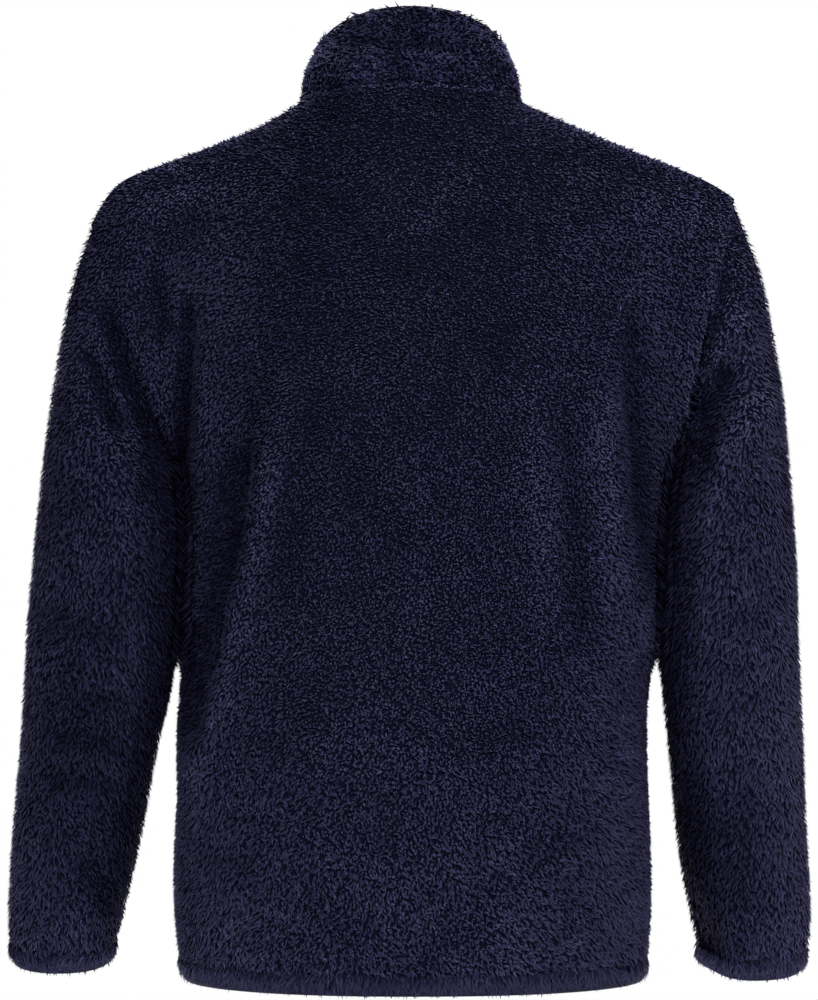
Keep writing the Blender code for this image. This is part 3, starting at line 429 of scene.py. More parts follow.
# Patches of painted light and shade, where the pile is lighter or darker: middle, half width and height, how
# much
paintedPatches = {
    "back_panel": (
        (0.180, -0.062, 0.045, 0.026, 1.3),
        (-0.200, -0.075, 0.030, 0.030, 0.8),
        (0.000, -0.110, 0.130, 0.110, 0.50),
        (-0.010, -0.055, 0.100, 0.040, 0.35),
        (-0.235, -0.085, 0.022, 0.026, 0.7),
        (0.200, -0.066, 0.035, 0.024, 0.9),
        (-0.211, -0.300, 0.020, 0.060, 0.9),
        (-0.170, -0.300, 0.012, 0.090, -0.4),
    ),
    "sleeve_left": (
        (0.210, -0.074, 0.032, 0.032, 1.6),
        (0.275, -0.510, 0.050, 0.160, -0.80),
        (0.270, -0.300, 0.035, 0.080, -0.35),
    ),
    "sleeve_right": (
        (-0.244, -0.100, 0.026, 0.050, 1.1),
        (-0.278, -0.200, 0.022, 0.060, 0.6),
        (-0.212, -0.300, 0.024, 0.065, 1.3),
        (-0.300, -0.480, 0.025, 0.160, 0.45),
        (-0.256, -0.630, 0.035, 0.070, -1.0),
    ),
    "collar": (
        (0.068, 0.025, 0.024, 0.030, 0.8),
        (-0.070, 0.035, 0.020, 0.020, 0.5),
        (-0.014, 0.045, 0.034, 0.020, -1.2),
        (0.000, 0.018, 0.055, 0.010, -0.7),
    ),
}
combed = {
    "sleeveFan": 2.4,             # how fast it turns outwards, radians a metre
    "bodyFan": 1.9,
    "bodyTurn": -0.20,
    "bodyTop": -0.10,
    "bodyFade": 0.35,
    "collarTurn": 0.9,
    "collarWaves": 60,
    "sleeveLean": (0.75, 0.25),   # how far it lies over, and how much further lower down
    "sleeveTop": -0.15,
    "leanFade": 0.25,
    "collarLean": 0.8,
    "bodyLean": 0.45,
    "sideLean": (0.30, 0.07, 0.10),      # further at the sides, from here, over this width
    "lowLean": (0.40, -0.38),            # and further down from here
}


def paintedPatchShading(name, points, facing):
    # painted light and shade in patches, on the sides that look to the back
    shade = np.zeros(len(points))
    for x, z, across, high, much in paintedPatches.get(name, ()):
        off = ((points[:, 0] - x) / across) ** 2 + ((points[:, 2] - z) / high) ** 2
        shade += much * np.exp(-off) * facing
    return shade


def napTurn(name, points):
    # how far the nap turns from straight down to the wearer's left, radians
    x, z = points[:, 0], points[:, 2]
    if name.startswith("sleeve"):
        middle = 0.5 * (abs(x).max() + abs(x).min())
        return np.sign(x) * (abs(x) - middle) * combed["sleeveFan"]
    if name == "collar":
        return combed["collarTurn"] * np.sin(x * combed["collarWaves"])
    lower = softStep((combed["bodyTop"] - z) / combed["bodyFade"])
    return lower * (combed["bodyTurn"] + combed["bodyFan"] * x)


def lean(name, points):
    # 1 where the pile lies right over, less where it stands up in grains
    x, z = points[:, 0], points[:, 2]
    if name.startswith("sleeve"):
        least, more = combed["sleeveLean"]
        return least + more * softStep((combed["sleeveTop"] - z) / combed["leanFade"])
    if name == "collar":
        return np.full(len(x), combed["collarLean"])
    more, start, fade = combed["sideLean"]
    lowMore, lowTop = combed["lowLean"]
    low = lowMore * softStep((lowTop - z) / combed["leanFade"])
    return combed["bodyLean"] + more * softStep((abs(x) - start) / fade) + low


# a lock's left side, root, right side and tip: across, along its nap and up, in its own size
lockCorners = ((-0.5, 0.46, 0.34), (0, 0, -0.12), (0.5, 0.46, 0.34), (0, 1, 1.0))


def oneLock():
    # a tuft of four faces: it leans from its root, low at both sides, up to its tip
    bm = bmesh.new()
    bmesh.ops.create_cone(bm, cap_ends=True, segments=3, radius1=0.5, radius2=0, depth=1)
    tip = max(bm.verts, key=lambda v: v.co.z)
    ends = sorted((v for v in bm.verts if v is not tip), key=lambda v: v.co.x)
    for v, place in zip((*ends, tip), lockCorners):
        v.co = place
    bmesh.ops.recalc_face_normals(bm, faces=bm.faces)
    bm.verts.index_update()
    points = np.array([v.co for v in bm.verts])
    faces = np.array([[v.index for v in f.verts] for f in bm.faces])
    tipIndex = tip.index
    bm.free()
    return points, faces, tipIndex


lockPoints, lockFaces, lockTip = oneLock()
# painted shade in a lock: darkest at its root, lightest at its tip
lockLight = np.clip(lockPoints[:, 2], 0, 1)


def stood(shape, size, root, ways):
    # locks in their own width, length and height, turned to their side, nap and rise at their roots
    shape = shape * np.stack(size, axis=1)[:, None]
    side, nap, up = (way[:, None] for way in ways)
    return root[:, None] + shape[:, :, :1] * side + shape[:, :, 1:2] * nap + shape[:, :, 2:] * up


def roomAhead(name, places, ways):
    # how far it is to the next panel, where one is near
    bm = bmesh.new()
    for other in pile["places"]:
        if other != name:
            bm.from_mesh(nodes[other].data)
    tree = BVHTree.FromBMesh(bm)
    bm.free()
    room = np.zeros(len(places))
    x, z = places[:, 0], places[:, 2]
    for k in np.flatnonzero((abs(x) > gap["outside"]) & (z < gap["top"]) & (z > gap["bottom"])):
        hit = tree.ray_cast(places[k], ways[k], gap["most"])
        if hit[0]:
            room[k] = hit[3]
    return room * softStep((z - gap["bottom"]) / gap["fade"])


def growPile(name, ground, tips, behind, before):
    area, length, width, rise, patches, stray = napOf[name]
    base, crest = placesOf(ground), placesOf(tips)
    quads = np.array([p.vertices[:] for p in ground.polygons if len(p.vertices) == 4])
    corners = base[quads]
    cross = np.cross(corners[:, 2] - corners[:, 0], corners[:, 3] - corners[:, 1])
    wanted = np.linalg.norm(cross, axis=1) / 2 / area
    many = np.floor(wanted + dice.random(len(quads))).astype(int)
    pick = np.repeat(np.arange(len(quads)), many)
    count = len(pick)
    steps = np.arange(count)
    # an even spread over each face: its two steps share no common measure
    u = ((steps * 0.7548776662 + pile["uneven"] * dice.random(count)) % 1)[:, None]
    v = ((steps * 0.5698402910 + pile["uneven"] * dice.random(count)) % 1)[:, None]
    weights = np.stack([(1 - u) * (1 - v), u * (1 - v), u * v, (1 - u) * v], axis=1)
    quads, normal = quads[pick], unit(cross[pick])
    root = (base[quads] * weights).sum(axis=1)
    up = (crest[quads] * weights).sum(axis=1) - root
    height = np.linalg.norm(up, axis=1)
    keep = height > pile["leastHeight"]
    root, up, normal, height = root[keep], up[keep], normal[keep], height[keep]
    count = len(root)
    normal = np.where((normal * up).sum(1)[:, None] < 0, -normal, normal)
    up = unit(up)
    # the nap falls down the cloth, turned by wide and small patches
    down = np.tile([0.0, 0.0, -1.0], (count, 1)) + normal * [0.0, pile["backFall"], 0.0]
    down = unit(down - normal * (down * normal).sum(1)[:, None])
    facing = np.where(normal[:, 1] > 0, 1.0, -1.0)
    turn = napTurn(name, root) * facing + stray * pile["stray"] * dice.normal(size=count)
    wideTurn = pile["patches"] * softNoise(root, pile["patchSize"], 3)
    turn += patches * (wideTurn + pile["swirls"] * softNoise(root, pile["swirlSize"], 5))
    side = np.cross(down, normal)
    nap = down * np.cos(turn)[:, None] + side * np.sin(turn)[:, None]
    side = np.cross(nap, normal)
    over = lean(name, root) * (1 + pile["leanMore"] * softNoise(root, pile["leanSize"], 8))
    edge = 1 - softStep((height - pile["edgeHeight"]) / pile["edgeFade"])
    reach = length * over * dice.uniform(*pile["reach"], count) * (1 + pile["edgeReach"] * edge)
    wide = width * dice.uniform(*pile["wide"], count)
    tall = height * rise * dice.uniform(*pile["tall"], count) + pile["fringe"] * edge
    room = roomAhead(name, root + up * height[:, None], up)
    tall += gap["tall"] * room
    reach += gap["reach"] * room
    wide *= 1 + gap["wide"] * room
    shape = np.repeat(lockPoints[None], count, axis=0)
    shape[:, lockTip, 0] += dice.normal(0, pile["tipAside"], count) * stray
    shape[:, lockTip, 2] += dice.uniform(*pile["tipRise"], count)
    places = stood(shape, (wide, reach, tall), root, (side, nap, up))
    half = np.where(root[:, 0] > 0, 1.0, -1.0)[:, None]
    atZip = (places[:, :, 1] < pile["zipFront"]) & (abs(root[:, :1]) < pile["zipSide"])
    combedOff = half * np.maximum(half * places[:, :, 0], pile["clearOfZip"])
    places[:, :, 0] = np.where(atZip, combedOff, places[:, :, 0])
    # painted shading: painted shade in folds and light on ridges, painted light on the shoulders, painted
    # patches, painted shade in gaps and inside the arms
    paintedShading = np.clip(creased(root, normal, behind, before) / tone["creaseDepth"], -1, tone["ridgeMost"])
    paintedShading += tone["shoulderLight"] * softStep((normal[:, 2] - tone["shoulderRise"]) / tone["shoulderFade"])
    paintedShading += paintedPatchShading(name, root, softStep(normal[:, 1] + tone["toBack"])) - gap["paintedGapShade"] * room
    # painted shade on a sleeve's inner side, which faces the body
    if name.startswith("sleeve"):
        inward = normal[:, 0] * -np.sign(root[:, 0])
        paintedShading -= tone["armInsideShade"] * softStep((inward - tone["armTurn"]) / tone["armFade"])
    crossing = rimLocks(name, ground, tips)
    if len(crossing[0]):
        places, root, paintedShading = (np.concatenate(pair) for pair in zip((places, root, paintedShading), crossing))
    return places, root, paintedShading


armholeRim = {
    "top": -0.215,
    "bottom": -0.345,
    "out": (0.14, 0.24),
    "size": (1.0, 1.0, 1.0),
    # painted shade on the locks that reach across the armhole seam
    "paintedShading": -0.9,
}
collarRim = {
    "upright": 0.5,               # only the edge that looks up
    "size": (0.8, 0.46, 1.0),
    # a little painted shade on the locks over the collar's edge
    "paintedShading": -0.1,
}
rim = {
    "each": 3,                    # locks on each step of the edge
    "inset": 0.001,
    "scatter": 0.35,
    "wide": (0.0024, 0.0036),
    "reach": (0.0060, 0.0090),
    "tall": (0.0016, 0.0034),
}


def onRim(name, middle, out):
    if name == "collar":
        return out[2] >= collarRim["upright"]
    least, most = armholeRim["out"]
    return armholeRim["top"] > middle[2] > armholeRim["bottom"] and least < abs(middle[0]) < most


def rimLocks(name, ground, tips):
    # locks that reach across the seam round the armhole, or over the collar's upper edge
    base, crest = placesOf(ground), placesOf(tips)
    owners = {}
    for face in ground.polygons:
        for key in face.edge_keys:
            owners.setdefault(key, []).append(face.index)
    root, nap, up = [], [], []
    for (a, b), faces in owners.items():
        if len(faces) > 1:
            continue
        middle = (base[a] + base[b]) / 2
        run = unit(base[b] - base[a])
        out = middle - np.array(ground.polygons[faces[0]].center)
        out = unit(out - run * (out @ run))
        if not onRim(name, middle, out):
            continue
        for share in dice.random(rim["each"]):
            root.append(base[a] + (base[b] - base[a]) * share - out * rim["inset"])
            nap.append(out)
            up.append(unit((crest[a] + crest[b]) / 2 - middle))
    count = len(root)
    if not count:
        return [], [], []
    root, nap, up = np.array(root), np.array(nap), np.array(up)
    nap = unit(nap + rim["scatter"] * dice.normal(size=(count, 3)))
    side = unit(np.cross(nap, up))
    place = collarRim if name == "collar" else armholeRim
    ways = zip(("wide", "reach", "tall"), place["size"])
    size = [dice.uniform(*rim[way], count) * share for way, share in ways]
    shape = np.repeat(lockPoints[None], count, axis=0)
    return stood(shape, size, root, (side, nap, up)), root, np.full(count, place["paintedShading"])


hanging = {
    "pitch": 0.0011,
    "each": 4,                    # locks at each step
    "above": (0.0024, 0.0100),    # how far above the stitches they stand
    "sunk": 0.0012,
    "turn": 0.30,
    "swirls": 0.35,
    "swirlSize": 0.03,
    "tipFall": 0.25,
    "wide": (0.0020, 0.0032),
    "reach": (0.0085, 0.0130),
    "tall": 0.0026,
    "tallAbove": 0.08,
    "tallMore": 0.0011,
    # painted shade on the locks that hang over the tape
    "paintedShading": -0.35,
}


def hangingLocks(frames):
    # the last locks above an edge tape, which hang over it
    frames = np.repeat(np.array(frames), hanging["each"], axis=0)
    count = len(frames)
    place, run, out = frames[:, 0], frames[:, 1], frames[:, 2]
    fall = np.cross(run, out)
    fall *= -np.sign(fall[:, 2:])
    above = dice.uniform(*hanging["above"], count)
    root = place - fall * above[:, None] - out * hanging["sunk"]
    turn = hanging["turn"] * dice.normal(size=count)[:, None]
    turn = turn + hanging["swirls"] * softNoise(root, hanging["swirlSize"], 21)[:, None]
    nap = fall * np.cos(turn) + run * np.sin(turn)
    side = np.cross(nap, out)
    shape = np.repeat(lockPoints[None], count, axis=0)
    shape[:, lockTip, 2] -= dice.uniform(0.0, hanging["tipFall"], count)
    wide = dice.uniform(*hanging["wide"], count)
    reach = dice.uniform(*hanging["reach"], count)
    tall = hanging["tall"] + hanging["tallAbove"] * above + dice.uniform(0, hanging["tallMore"], count)
    return stood(shape, (wide, reach, tall), root, (side, nap, out)), root, np.full(count, hanging["paintedShading"])


strandRoom = 60                   # each lock shows its own part of the strands' pattern
bakeSquare = {"filled": 0.8, "edge": 0.1}


def lockPiece(title, places, root, paintedShading, material):
    # one piece of many locks, each with its own tone and painted shading, and its own square of the OFBake
    # map
    count, size = places.shape[:2]
    faces = (lockFaces[None] + np.arange(count)[:, None, None] * size).reshape(-1, 3)
    mesh = bpy.data.meshes.new(title)
    mesh.from_pydata(places.reshape(-1, 3), [], faces)
    shade = tone["middle"] + tone["patches"] * softNoise(root, tone["patchSize"], 11)
    shade += tone["specks"] * softNoise(root, tone["speckSize"], 12)
    shade += dice.normal(0, tone["stray"], count)
    # painted light and shade on top of the tone at random
    shade += tone["paintedShading"] * paintedShading
    shades = mesh.attributes.new("lockToneAndShading", "FLOAT", "POINT")
    shades.data.foreach_set("value", np.repeat(np.clip(shade, 0, tone["most"]), size))
    # painted shade: dark at each lock's root, where the locks shade each other
    along = mesh.attributes.new("lockRootShade", "FLOAT", "POINT")
    along.data.foreach_set("value", np.tile(lockLight, count))
    strands = lockPoints[None] * [1, 1, 0] + dice.uniform(0, strandRoom, (count, 1, 3))
    grain = mesh.attributes.new("lockGrain", "FLOAT_VECTOR", "POINT")
    grain.data.foreach_set("vector", strands.reshape(-1))
    across = math.ceil(math.sqrt(count))
    cell = np.stack([np.arange(count) % across, np.arange(count) // across], axis=1)
    inside = lockPoints[:, :2] * bakeSquare["filled"] + [0.5, bakeSquare["edge"]]
    spots = ((cell[:, None] + inside[None]) / across).reshape(-1, 2)
    mesh.uv_layers.new(name="OFBake").data.foreach_set("uv", spots[faces.reshape(-1)].reshape(-1))
    mesh.polygons.foreach_set("use_smooth", np.ones(len(faces), bool))
    return placed(title, mesh, material)


def newMaterial(name, colour, roughness, metallic=0.0):
    material = bpy.data.materials.new(name)
    material.use_nodes = True
    shader = material.node_tree.nodes["Principled BSDF"]
    shader.inputs["Base Color"].default_value = (*colour, 1)
    shader.inputs["Roughness"].default_value = roughness
    shader.inputs["Metallic"].default_value = metallic
    return material, material.node_tree, shader


def node(tree, kind, **settings):
    made = tree.nodes.new(kind)
    for key, value in settings.items():
        if key in made.inputs:
            made.inputs[key].default_value = value
        else:
            setattr(made, key, value)
    return made


def colourBetween(tree, factor, stops):
    ramp = node(tree, "ShaderNodeValToRGB")
    steps = ramp.color_ramp.elements
    steps[0].position, steps[0].color = stops[0][0], (*stops[0][1], 1)
    steps[1].position, steps[1].color = stops[-1][0], (*stops[-1][1], 1)
    for place, colour in stops[1:-1]:
        steps.new(place).color = (*colour, 1)
    tree.links.new(factor, ramp.inputs["Fac"])
    return ramp.outputs["Color"]


def raised(tree, shader, height, strength, distance):
    bump = node(tree, "ShaderNodeBump", Strength=strength, Distance=distance)
    tree.links.new(height, bump.inputs["Height"])
    tree.links.new(bump.outputs["Normal"], shader.inputs["Normal"])


navyPile = {
    "colour": (0.006, 0.006, 0.016),
    "roughness": 0.70,
    "gloss": 0.03,
    "glossTint": (0.55, 0.56, 1.0, 1),
    "strandStretch": (7.0, 1.1, 1.0),
    "rootShadeShare": 0.34,           # painted shade: dark at the root, lighter to the tip
    "toneShare": 0.60,            # lock by lock: tone at random, with painted light and shade
    "strandShare": 0.66,          # fine strands along each
    "less": -0.36,
    "stops": (
        (0.03, (0.0004, 0.0004, 0.0014)),
        (0.38, (0.0102, 0.0097, 0.0274)),
        (0.90, (0.0410, 0.0398, 0.0850)),
    ),
    "bump": (0.5, 0.0003),
}


def pileMaterial():
    material, tree, shader = newMaterial("navyPile", navyPile["colour"], navyPile["roughness"])
    shader.inputs["Specular IOR Level"].default_value = navyPile["gloss"]
    shader.inputs["Specular Tint"].default_value = navyPile["glossTint"]
    shade = node(tree, "ShaderNodeAttribute", attribute_name="lockToneAndShading")
    along = node(tree, "ShaderNodeAttribute", attribute_name="lockRootShade")
    grain = node(tree, "ShaderNodeAttribute", attribute_name="lockGrain")
    stretch = node(tree, "ShaderNodeMapping", Scale=navyPile["strandStretch"])
    strands = node(tree, "ShaderNodeTexNoise", Scale=1.0, Detail=2.0)
    tree.links.new(grain.outputs["Vector"], stretch.inputs["Vector"])
    tree.links.new(stretch.outputs["Vector"], strands.inputs["Vector"])
    parts = ((along, "rootShadeShare"), (shade, "toneShare"), (strands, "strandShare"))
    total = None
    for source, share in parts:
        add = node(tree, "ShaderNodeMath", operation="MULTIPLY_ADD")
        tree.links.new(source.outputs["Fac"], add.inputs[0])
        add.inputs[1].default_value = navyPile[share]
        add.inputs[2].default_value = 0 if total else navyPile["less"]
        if total:
            tree.links.new(total, add.inputs[2])
        total = add.outputs[0]
    tree.links.new(colourBetween(tree, total, navyPile["stops"]), shader.inputs["Base Color"])
    raised(tree, shader, strands.outputs["Fac"], *navyPile["bump"])
    return material


knitGround = {
    # the knit's own navy, darkened nearly to black as painted shade for the gaps between the locks
    "colour": (0.003, 0.003, 0.008),
    "roughness": 0.9,
    # scale, unevenness and direction of each
    "ribs": (260.0, 1.5, "X"),
    "rows": (330.0, 1.0, "Z"),
    "stops": ((0.0, (0.0008, 0.0008, 0.0024)), (1.0, (0.0040, 0.0038, 0.0100))),
    "bump": (0.6, 0.0004),
}


def groundMaterial():
    # the knit that the pile stands on, in fine ribs, seen on the inside; its navy is darkened with painted
    # shade
    material, tree, shader = newMaterial("knitGround", knitGround["colour"], knitGround["roughness"])
    shader.inputs["Specular IOR Level"].default_value = 0.0
    place = node(tree, "ShaderNodeTexCoord")
    knit = node(tree, "ShaderNodeMath", operation="MULTIPLY")
    for k, bands in enumerate(("ribs", "rows")):
        scale, uneven, way = knitGround[bands]
        wave = node(tree, "ShaderNodeTexWave", Scale=scale, Distortion=uneven, Detail=1.0)
        wave.bands_direction = way
        tree.links.new(place.outputs["Object"], wave.inputs["Vector"])
        tree.links.new(wave.outputs["Fac"], knit.inputs[k])
    tree.links.new(colourBetween(tree, knit.outputs[0], knitGround["stops"]), shader.inputs["Base Color"])
    raised(tree, shader, knit.outputs[0], *knitGround["bump"])
    return material


wovenTapes = {
    # dark and light threads, threads a metre, roughness
    "edgeTape": ((0.0016, 0.0015, 0.0046), (0.0046, 0.0043, 0.0120), 420.0, 0.75),
    "zipTape": ((0.0030, 0.0030, 0.0075), (0.0090, 0.0088, 0.0190), 520.0, 0.75),
    "thread": ((0.0024, 0.0023, 0.0066), (0.0070, 0.0067, 0.0160), 2400.0, 0.55),
}
weave = {"gloss": 0.03, "uneven": 0.6, "fuzz": 2.5, "lightAt": 0.8, "bump": (0.5, 0.0002)}


def tapeMaterial(name):
    # a narrow woven tape
    colour, light, scale, roughness = wovenTapes[name]
    material, tree, shader = newMaterial(name, colour, roughness)
    shader.inputs["Specular IOR Level"].default_value = weave["gloss"]
    place = node(tree, "ShaderNodeTexCoord")
    warp = node(tree, "ShaderNodeTexWave", Scale=scale, Distortion=weave["uneven"], Detail=1.0)
    warp.bands_direction = "DIAGONAL"
    fuzz = node(tree, "ShaderNodeTexNoise", Scale=scale * weave["fuzz"], Detail=3.0)
    both = node(tree, "ShaderNodeMath", operation="MULTIPLY")
    for k, source in enumerate((warp, fuzz)):
        tree.links.new(place.outputs["Object"], source.inputs["Vector"])
        tree.links.new(source.outputs["Fac"], both.inputs[k])
    stops = ((0.0, colour), (weave["lightAt"], light))
    tree.links.new(colourBetween(tree, both.outputs[0], stops), shader.inputs["Base Color"])
    raised(tree, shader, both.outputs[0], *weave["bump"])
    return material


hardParts = {
    # colour, roughness, metallic, gloss
    "zipTeeth": ((0.0040, 0.0040, 0.0085), 0.42, 0.0, 0.22),
    "zipMetal": ((0.0200, 0.0200, 0.0290), 0.36, 1.0, 0.5),
}
worn = {"scale": 900.0, "lighter": 1.8, "from": 0.35, "to": 0.75, "bump": (0.15, 0.0001)}


def hardMaterial(name):
    # moulded teeth, or the painted metal of the slider, with a slightly worn surface
    colour, roughness, metallic, gloss = hardParts[name]
    material, tree, shader = newMaterial(name, colour, roughness, metallic)
    shader.inputs["Specular IOR Level"].default_value = gloss
    place = node(tree, "ShaderNodeTexCoord")
    wear = node(tree, "ShaderNodeTexNoise", Scale=worn["scale"], Detail=4.0)
    tree.links.new(place.outputs["Object"], wear.inputs["Vector"])
    lighter = tuple(min(1.0, c * worn["lighter"]) for c in colour)
    stops = ((worn["from"], colour), (worn["to"], lighter))
    tree.links.new(colourBetween(tree, wear.outputs["Fac"], stops), shader.inputs["Base Color"])
    raised(tree, shader, wear.outputs["Fac"], *worn["bump"])
    return material


pileFinish = pileMaterial()
groundFinish = groundMaterial()
bindingFinish = tapeMaterial("edgeTape")
zipTapeFinish = tapeMaterial("zipTape")
threadFinish = tapeMaterial("thread")
teethFinish = hardMaterial("zipTeeth")
metalFinish = hardMaterial("zipMetal")

panels = {
    # the cut's width and length, the share of that rectangle it fills, its folds behind and in front
    "back_panel": ((0.58, 0.73), 0.74, foldsBack + foldsArmhole, foldsFront),
    "front_panel_left": ((0.29, 0.72), 0.80, foldsBack, foldsFront),
    "front_panel_right": ((0.30, 0.72), 0.80, foldsBack, foldsFront),
    "sleeve_left": ((0.44, 0.63), 0.70, foldsSleeveBack, foldsSleeveFront),
    "sleeve_right": ((0.44, 0.65), 0.70, foldsSleeveBack + foldsArmhole, foldsSleeveFront),
    "collar": ((0.53, 0.075), 0.90, foldsCollar, foldsCollar),
}

for name, (flat, share, behind, before) in panels.items():
    ground, tips = groundAndTips(name)
    facing = np.array([v.normal for v in ground.vertices])
    shift = facing * creased(placesOf(ground), facing, behind, before)[:, None]
    for mesh in (ground, tips):
        mesh.vertices.foreach_set("co", (placesOf(mesh) + shift).reshape(-1))
    shell = groundShell(name, ground, groundFinish)
    places, root, paintedShading = growPile(name, ground, tips, behind, before)
    order = np.argsort(-root[:, 2])
    parts = math.ceil(len(root) / pile["most"])
    for k, chosen in enumerate(np.array_split(order, parts)):
        title = name + "_pile" + (f"_{k + 1}" if parts > 1 else "")
        lockPiece(title, places[chosen], root[chosen], paintedShading[chosen], pileFinish)
    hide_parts(name)
    print(name, len(root), "locks in", parts, "pieces")

# Edge tapes, each folded over its edge, with a row of stitches on each side
tapes = {
    "hem_binding": (0.95, 0.0208),
    "cuff_binding_left": (0.22, 0.0208),
    "cuff_binding_right": (0.22, 0.0208),
    "zip_tape_left": (0.70, 0.0135),
    "zip_tape_right": (0.70, 0.0135),
}
zipTape = {
    "nearest": 0.0017,            # the few corners nearer the middle than this
    "drawnIn": 0.1,               # are drawn in behind the teeth
}
stitch = {"pitch": 0.0034, "long": 0.0026, "wide": 0.00055, "rise": 0.0003, "below": 0.0016, "flatTop": 0.7}
ring = {
    "steps": 361,
    "lift": 0.016,                # looked for from this far above the middle to as far below
    "liftStep": 0.0005,
    "away": 0.5,                  # from here inwards for the outer face
    "facing": -0.3,
    "outside": 0.02,
    "longest": 0.006,             # a longer step is a gap in the row
}


def manyOf(title, bm, frames, material):
    # one piece of many copies of a small shape. A frame is its place and its three directions
    points = np.array([v.co for v in bm.verts])
    faces = np.array([[v.index for v in f.verts] for f in bm.faces])
    bm.free()
    frames = np.array(frames)
    spots = frames[:, None, 0] + np.einsum("pk,nkc->npc", points, frames[:, 1:])
    many = (faces[None] + np.arange(len(frames))[:, None, None] * len(points)).reshape(-1, faces.shape[1])
    mesh = bpy.data.meshes.new(title)
    mesh.from_pydata(spots.reshape(-1, 3), [], many)
    return placed(title, mesh, material)


def smallBlock(size, top, bevel=0.0):
    # a block that narrows outwards
    bm = bmesh.new()
    bmesh.ops.create_cube(bm, size=1)
    for v in bm.verts:
        squeeze = top if v.co.y > 0 else 1.0
        v.co = Vector((v.co.x * size[0] * squeeze, v.co.y * size[1], v.co.z * size[2] * squeeze))
    if bevel:
        bmesh.ops.bevel(bm, geom=bm.edges[:], offset=bevel, segments=1, profile=0.5, affect="EDGES")
    bmesh.ops.triangulate(bm, faces=bm.faces)
    bm.verts.index_update()
    return bm


def evenly(places, ways, pitch):
    # frames at equal steps along a row of places. None where the row has a gap
    places, ways = np.array(places), np.array(ways)
    steps = np.linalg.norm(np.diff(places, axis=0), axis=1)
    along = np.concatenate([[0], np.cumsum(steps)])
    frames = []
    for at in np.arange(pitch, along[-1] - pitch, pitch):
        k = min(np.searchsorted(along, at), len(steps)) - 1
        if steps[k] > ring["longest"]:
            continue
        share = (at - along[k]) / max(steps[k], 1e-9)
        run = unit(places[k + 1] - places[k])
        out = unit(ways[k] * (1 - share) + ways[k + 1] * share)
        out = unit(out - run * (out @ run))
        frames.append([places[k] * (1 - share) + places[k + 1] * share, run, out, np.cross(run, out)])
    return frames


def ringRow(node, inside):
    # places round a folded tape, a little below its upper edge
    bm = mergedCopy(node)
    tree = BVHTree.FromBMesh(bm)
    points = np.array([v.co for v in bm.verts])
    bm.free()
    middle = (points.max(axis=0) + points.min(axis=0)) / 2
    rise = np.linalg.svd(points - points.mean(axis=0))[2][2]
    rise = rise * np.sign(rise[2])
    first = unit(np.cross(rise, [1.0, 0, 0]))
    second = np.cross(rise, first)
    places, ways = [], []
    for turn in np.linspace(0, 2 * math.pi, ring["steps"]):
        out = math.cos(turn) * first + math.sin(turn) * second
        way = out if inside else -out
        start = middle if inside else middle + out * ring["away"]
        for lift in np.arange(ring["lift"], -ring["lift"], -ring["liftStep"]):
            hit, normal, _, _ = tree.ray_cast(start + rise * lift, way)
            if not hit or Vector(way).dot(normal) >= ring["facing"]:
                continue
            if (hit - Vector(middle)).dot(out) > ring["outside"]:
                low, normal, _, _ = tree.ray_cast(start + rise * (lift - stitch["below"]), way)
                if low:
                    places.append(low)
                    ways.append(normal)
                break
    return places, ways


def ringFrames(name, inside, pitch):
    places, ways = ringRow(name, inside)
    return evenly(places, ways, pitch)


for name, flat in tapes.items():
    bm = mergedCopy(name)
    joinPairs(bm)
    mesh = finer(bm, 1)
    bm.free()
    bm = bmesh.new()
    bm.from_mesh(mesh)
    onZip = name.startswith("zip")
    for v in bm.verts:
        if onZip and abs(v.co.x) < zipTape["nearest"]:
            v.co.x *= zipTape["drawnIn"]
    finish, slot = (zipTapeFinish, "zip_tape") if onZip else (bindingFinish, "edge_tape")
    tape = newObject(name + "_woven", bm, finish)
    tape.data.shade_smooth()
    rows, sewn = [], []
    if not onZip:
        rows = ringFrames(name, False, stitch["pitch"]) + ringFrames(name, True, stitch["pitch"])
        thread = smallBlock((stitch["long"], 2 * stitch["rise"], stitch["wide"]), stitch["flatTop"])
        sewn.append(manyOf(name + "_stitches", thread, rows, threadFinish))
        hung = hangingLocks(ringFrames(name, False, hanging["pitch"]))
        sewn.append(lockPiece(name + "_pile", *hung, pileFinish))
    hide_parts(name)
    print(name, "tape,", len(rows), "stitches")

# Zip: moulded teeth in two rows that mesh along the middle
teeth = {
    "pitch": 0.0013,
    "size": (0.0043, 0.0023, 0.00126),
    "middle": 0.00085,            # a tooth's middle, out from the zip's
    "deep": -0.00015,
    "front": 0.86,                # narrower to the front by this share
    "bevel": 0.00025,
    "clear": 0.0008,              # from the chain's two ends
    "step": 0.001,
    "beside": 0.0001,
}
bm = mergedCopy("zip_chain")
tree = BVHTree.FromBMesh(bm)
chainEnds = [min(v.co.z for v in bm.verts), max(v.co.z for v in bm.verts)]
bm.free()
places, ways = [], []
for z in np.arange(chainEnds[0] + teeth["clear"], chainEnds[1] - teeth["clear"], teeth["step"]):
    near, normal, _, _ = tree.ray_cast(Vector((teeth["beside"], -1, z)), Vector((0, 1, 0)))
    far = tree.ray_cast(Vector((teeth["beside"], 1, z)), Vector((0, -1, 0)))[0]
    if near and far:
        places.append([0, *((near + far) / 2)[1:]])
        ways.append([0, *normal[1:]])
frames = []
for k, (place, _, out, _) in enumerate(evenly(places, ways, teeth["pitch"])):
    side = np.array([1.0 if k % 2 else -1.0, 0, 0])
    frames.append([place + side * teeth["middle"] + out * teeth["deep"], side, out, np.cross(side, out)])
tooth = smallBlock(teeth["size"], teeth["front"], teeth["bevel"])
chain = manyOf("zip_teeth", tooth, frames, teethFinish)
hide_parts("zip_chain")
for name in ("zip_slider", "zip_pull", "zip_box", "zip_stop_left", "zip_stop_right"):
    for holder in nodes[name].material_slots:
        holder.material = metalFinish
print("zip,", len(frames), "teeth")

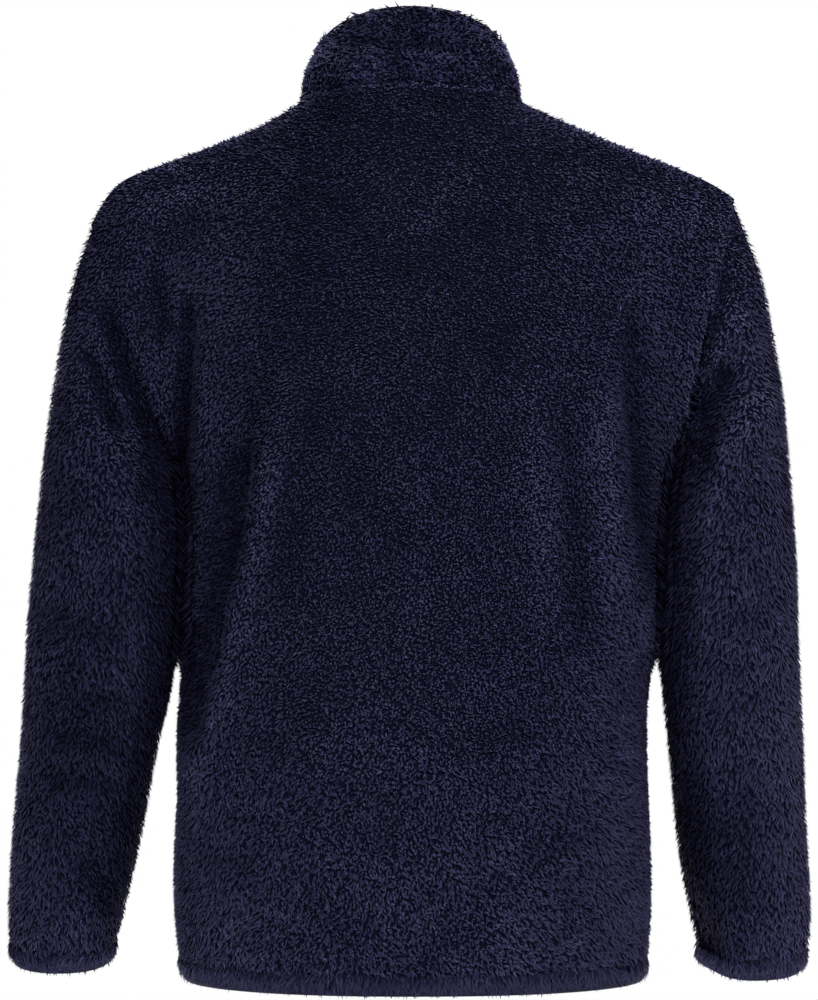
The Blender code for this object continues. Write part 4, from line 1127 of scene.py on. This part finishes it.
# Studio: a pale floor, soft lights and the photograph's square view from behind
studio = {
    "distance": 3.2,
    "acrossPixel": 0.0008,
    "imageHeight": 1000,
    "sensorHeight": 24,
    "middle": (0.0016, -0.3224),
    "floorZ": -1.15,
    "floorReach": 3,
    "floorColour": (0.9, 0.9, 0.9),
    "floorRoughness": 0.9,
    "worldStrength": 1.0,
    "lightSize": 1.8,
    "litAt": (0, 0, -0.3),
    "lights": (
        # x, y, z, watts
        (2.8, 1.4, 1.8, 25),
        (-2.8, 1.4, 1.8, 120),
        (2.8, -1.4, 1.8, 70),
        (-2.8, -1.4, 1.8, 70),
        (-0.8, 3.0, 1.8, 440),
        (0.8, -3.0, 1.8, 440),
    ),
}


def areaLight(place, target, size, power):
    data = bpy.data.lights.new("softLight", "AREA")
    data.shape, data.size, data.energy = "SQUARE", size, power
    lamp = bpy.data.objects.new("softLight", data)
    lamp.location = place
    lamp.rotation_euler = (Vector(target) - Vector(place)).to_track_quat("-Z", "Y").to_euler()
    bpy.context.collection.objects.link(lamp)


bm = bmesh.new()
bmesh.ops.create_grid(bm, x_segments=1, y_segments=1, size=studio["floorReach"])
bmesh.ops.translate(bm, vec=(0, 0, studio["floorZ"]), verts=bm.verts)
floorMesh = bpy.data.meshes.new("floor")
bm.to_mesh(floorMesh)
bm.free()
floor = bpy.data.objects.new("floor", floorMesh)
bpy.context.collection.objects.link(floor)
floorMesh.materials.append(newMaterial("paleFloor", studio["floorColour"], studio["floorRoughness"])[0])

world = bpy.data.worlds.new("studio")
bpy.context.scene.world = world
world.use_nodes = True
world.node_tree.nodes["Background"].inputs["Color"].default_value = (1, 1, 1, 1)
world.node_tree.nodes["Background"].inputs["Strength"].default_value = studio["worldStrength"]

for x, y, z, power in studio["lights"]:
    areaLight((x, y, z), studio["litAt"], studio["lightSize"], power)

photoHeight = studio["imageHeight"] * studio["acrossPixel"]
cameraData = bpy.data.cameras.new("camera")
cameraData.sensor_fit = "VERTICAL"
cameraData.sensor_height = studio["sensorHeight"]
cameraData.lens = studio["sensorHeight"] * studio["distance"] / photoHeight
camera = bpy.data.objects.new("camera", cameraData)
camera.location = (studio["middle"][0], studio["distance"], studio["middle"][1])
camera.rotation_euler = (math.pi / 2, 0, math.pi)
bpy.context.collection.objects.link(camera)
bpy.context.scene.camera = camera
bpy.context.scene.view_settings.view_transform = "Standard"

print("studio ready")
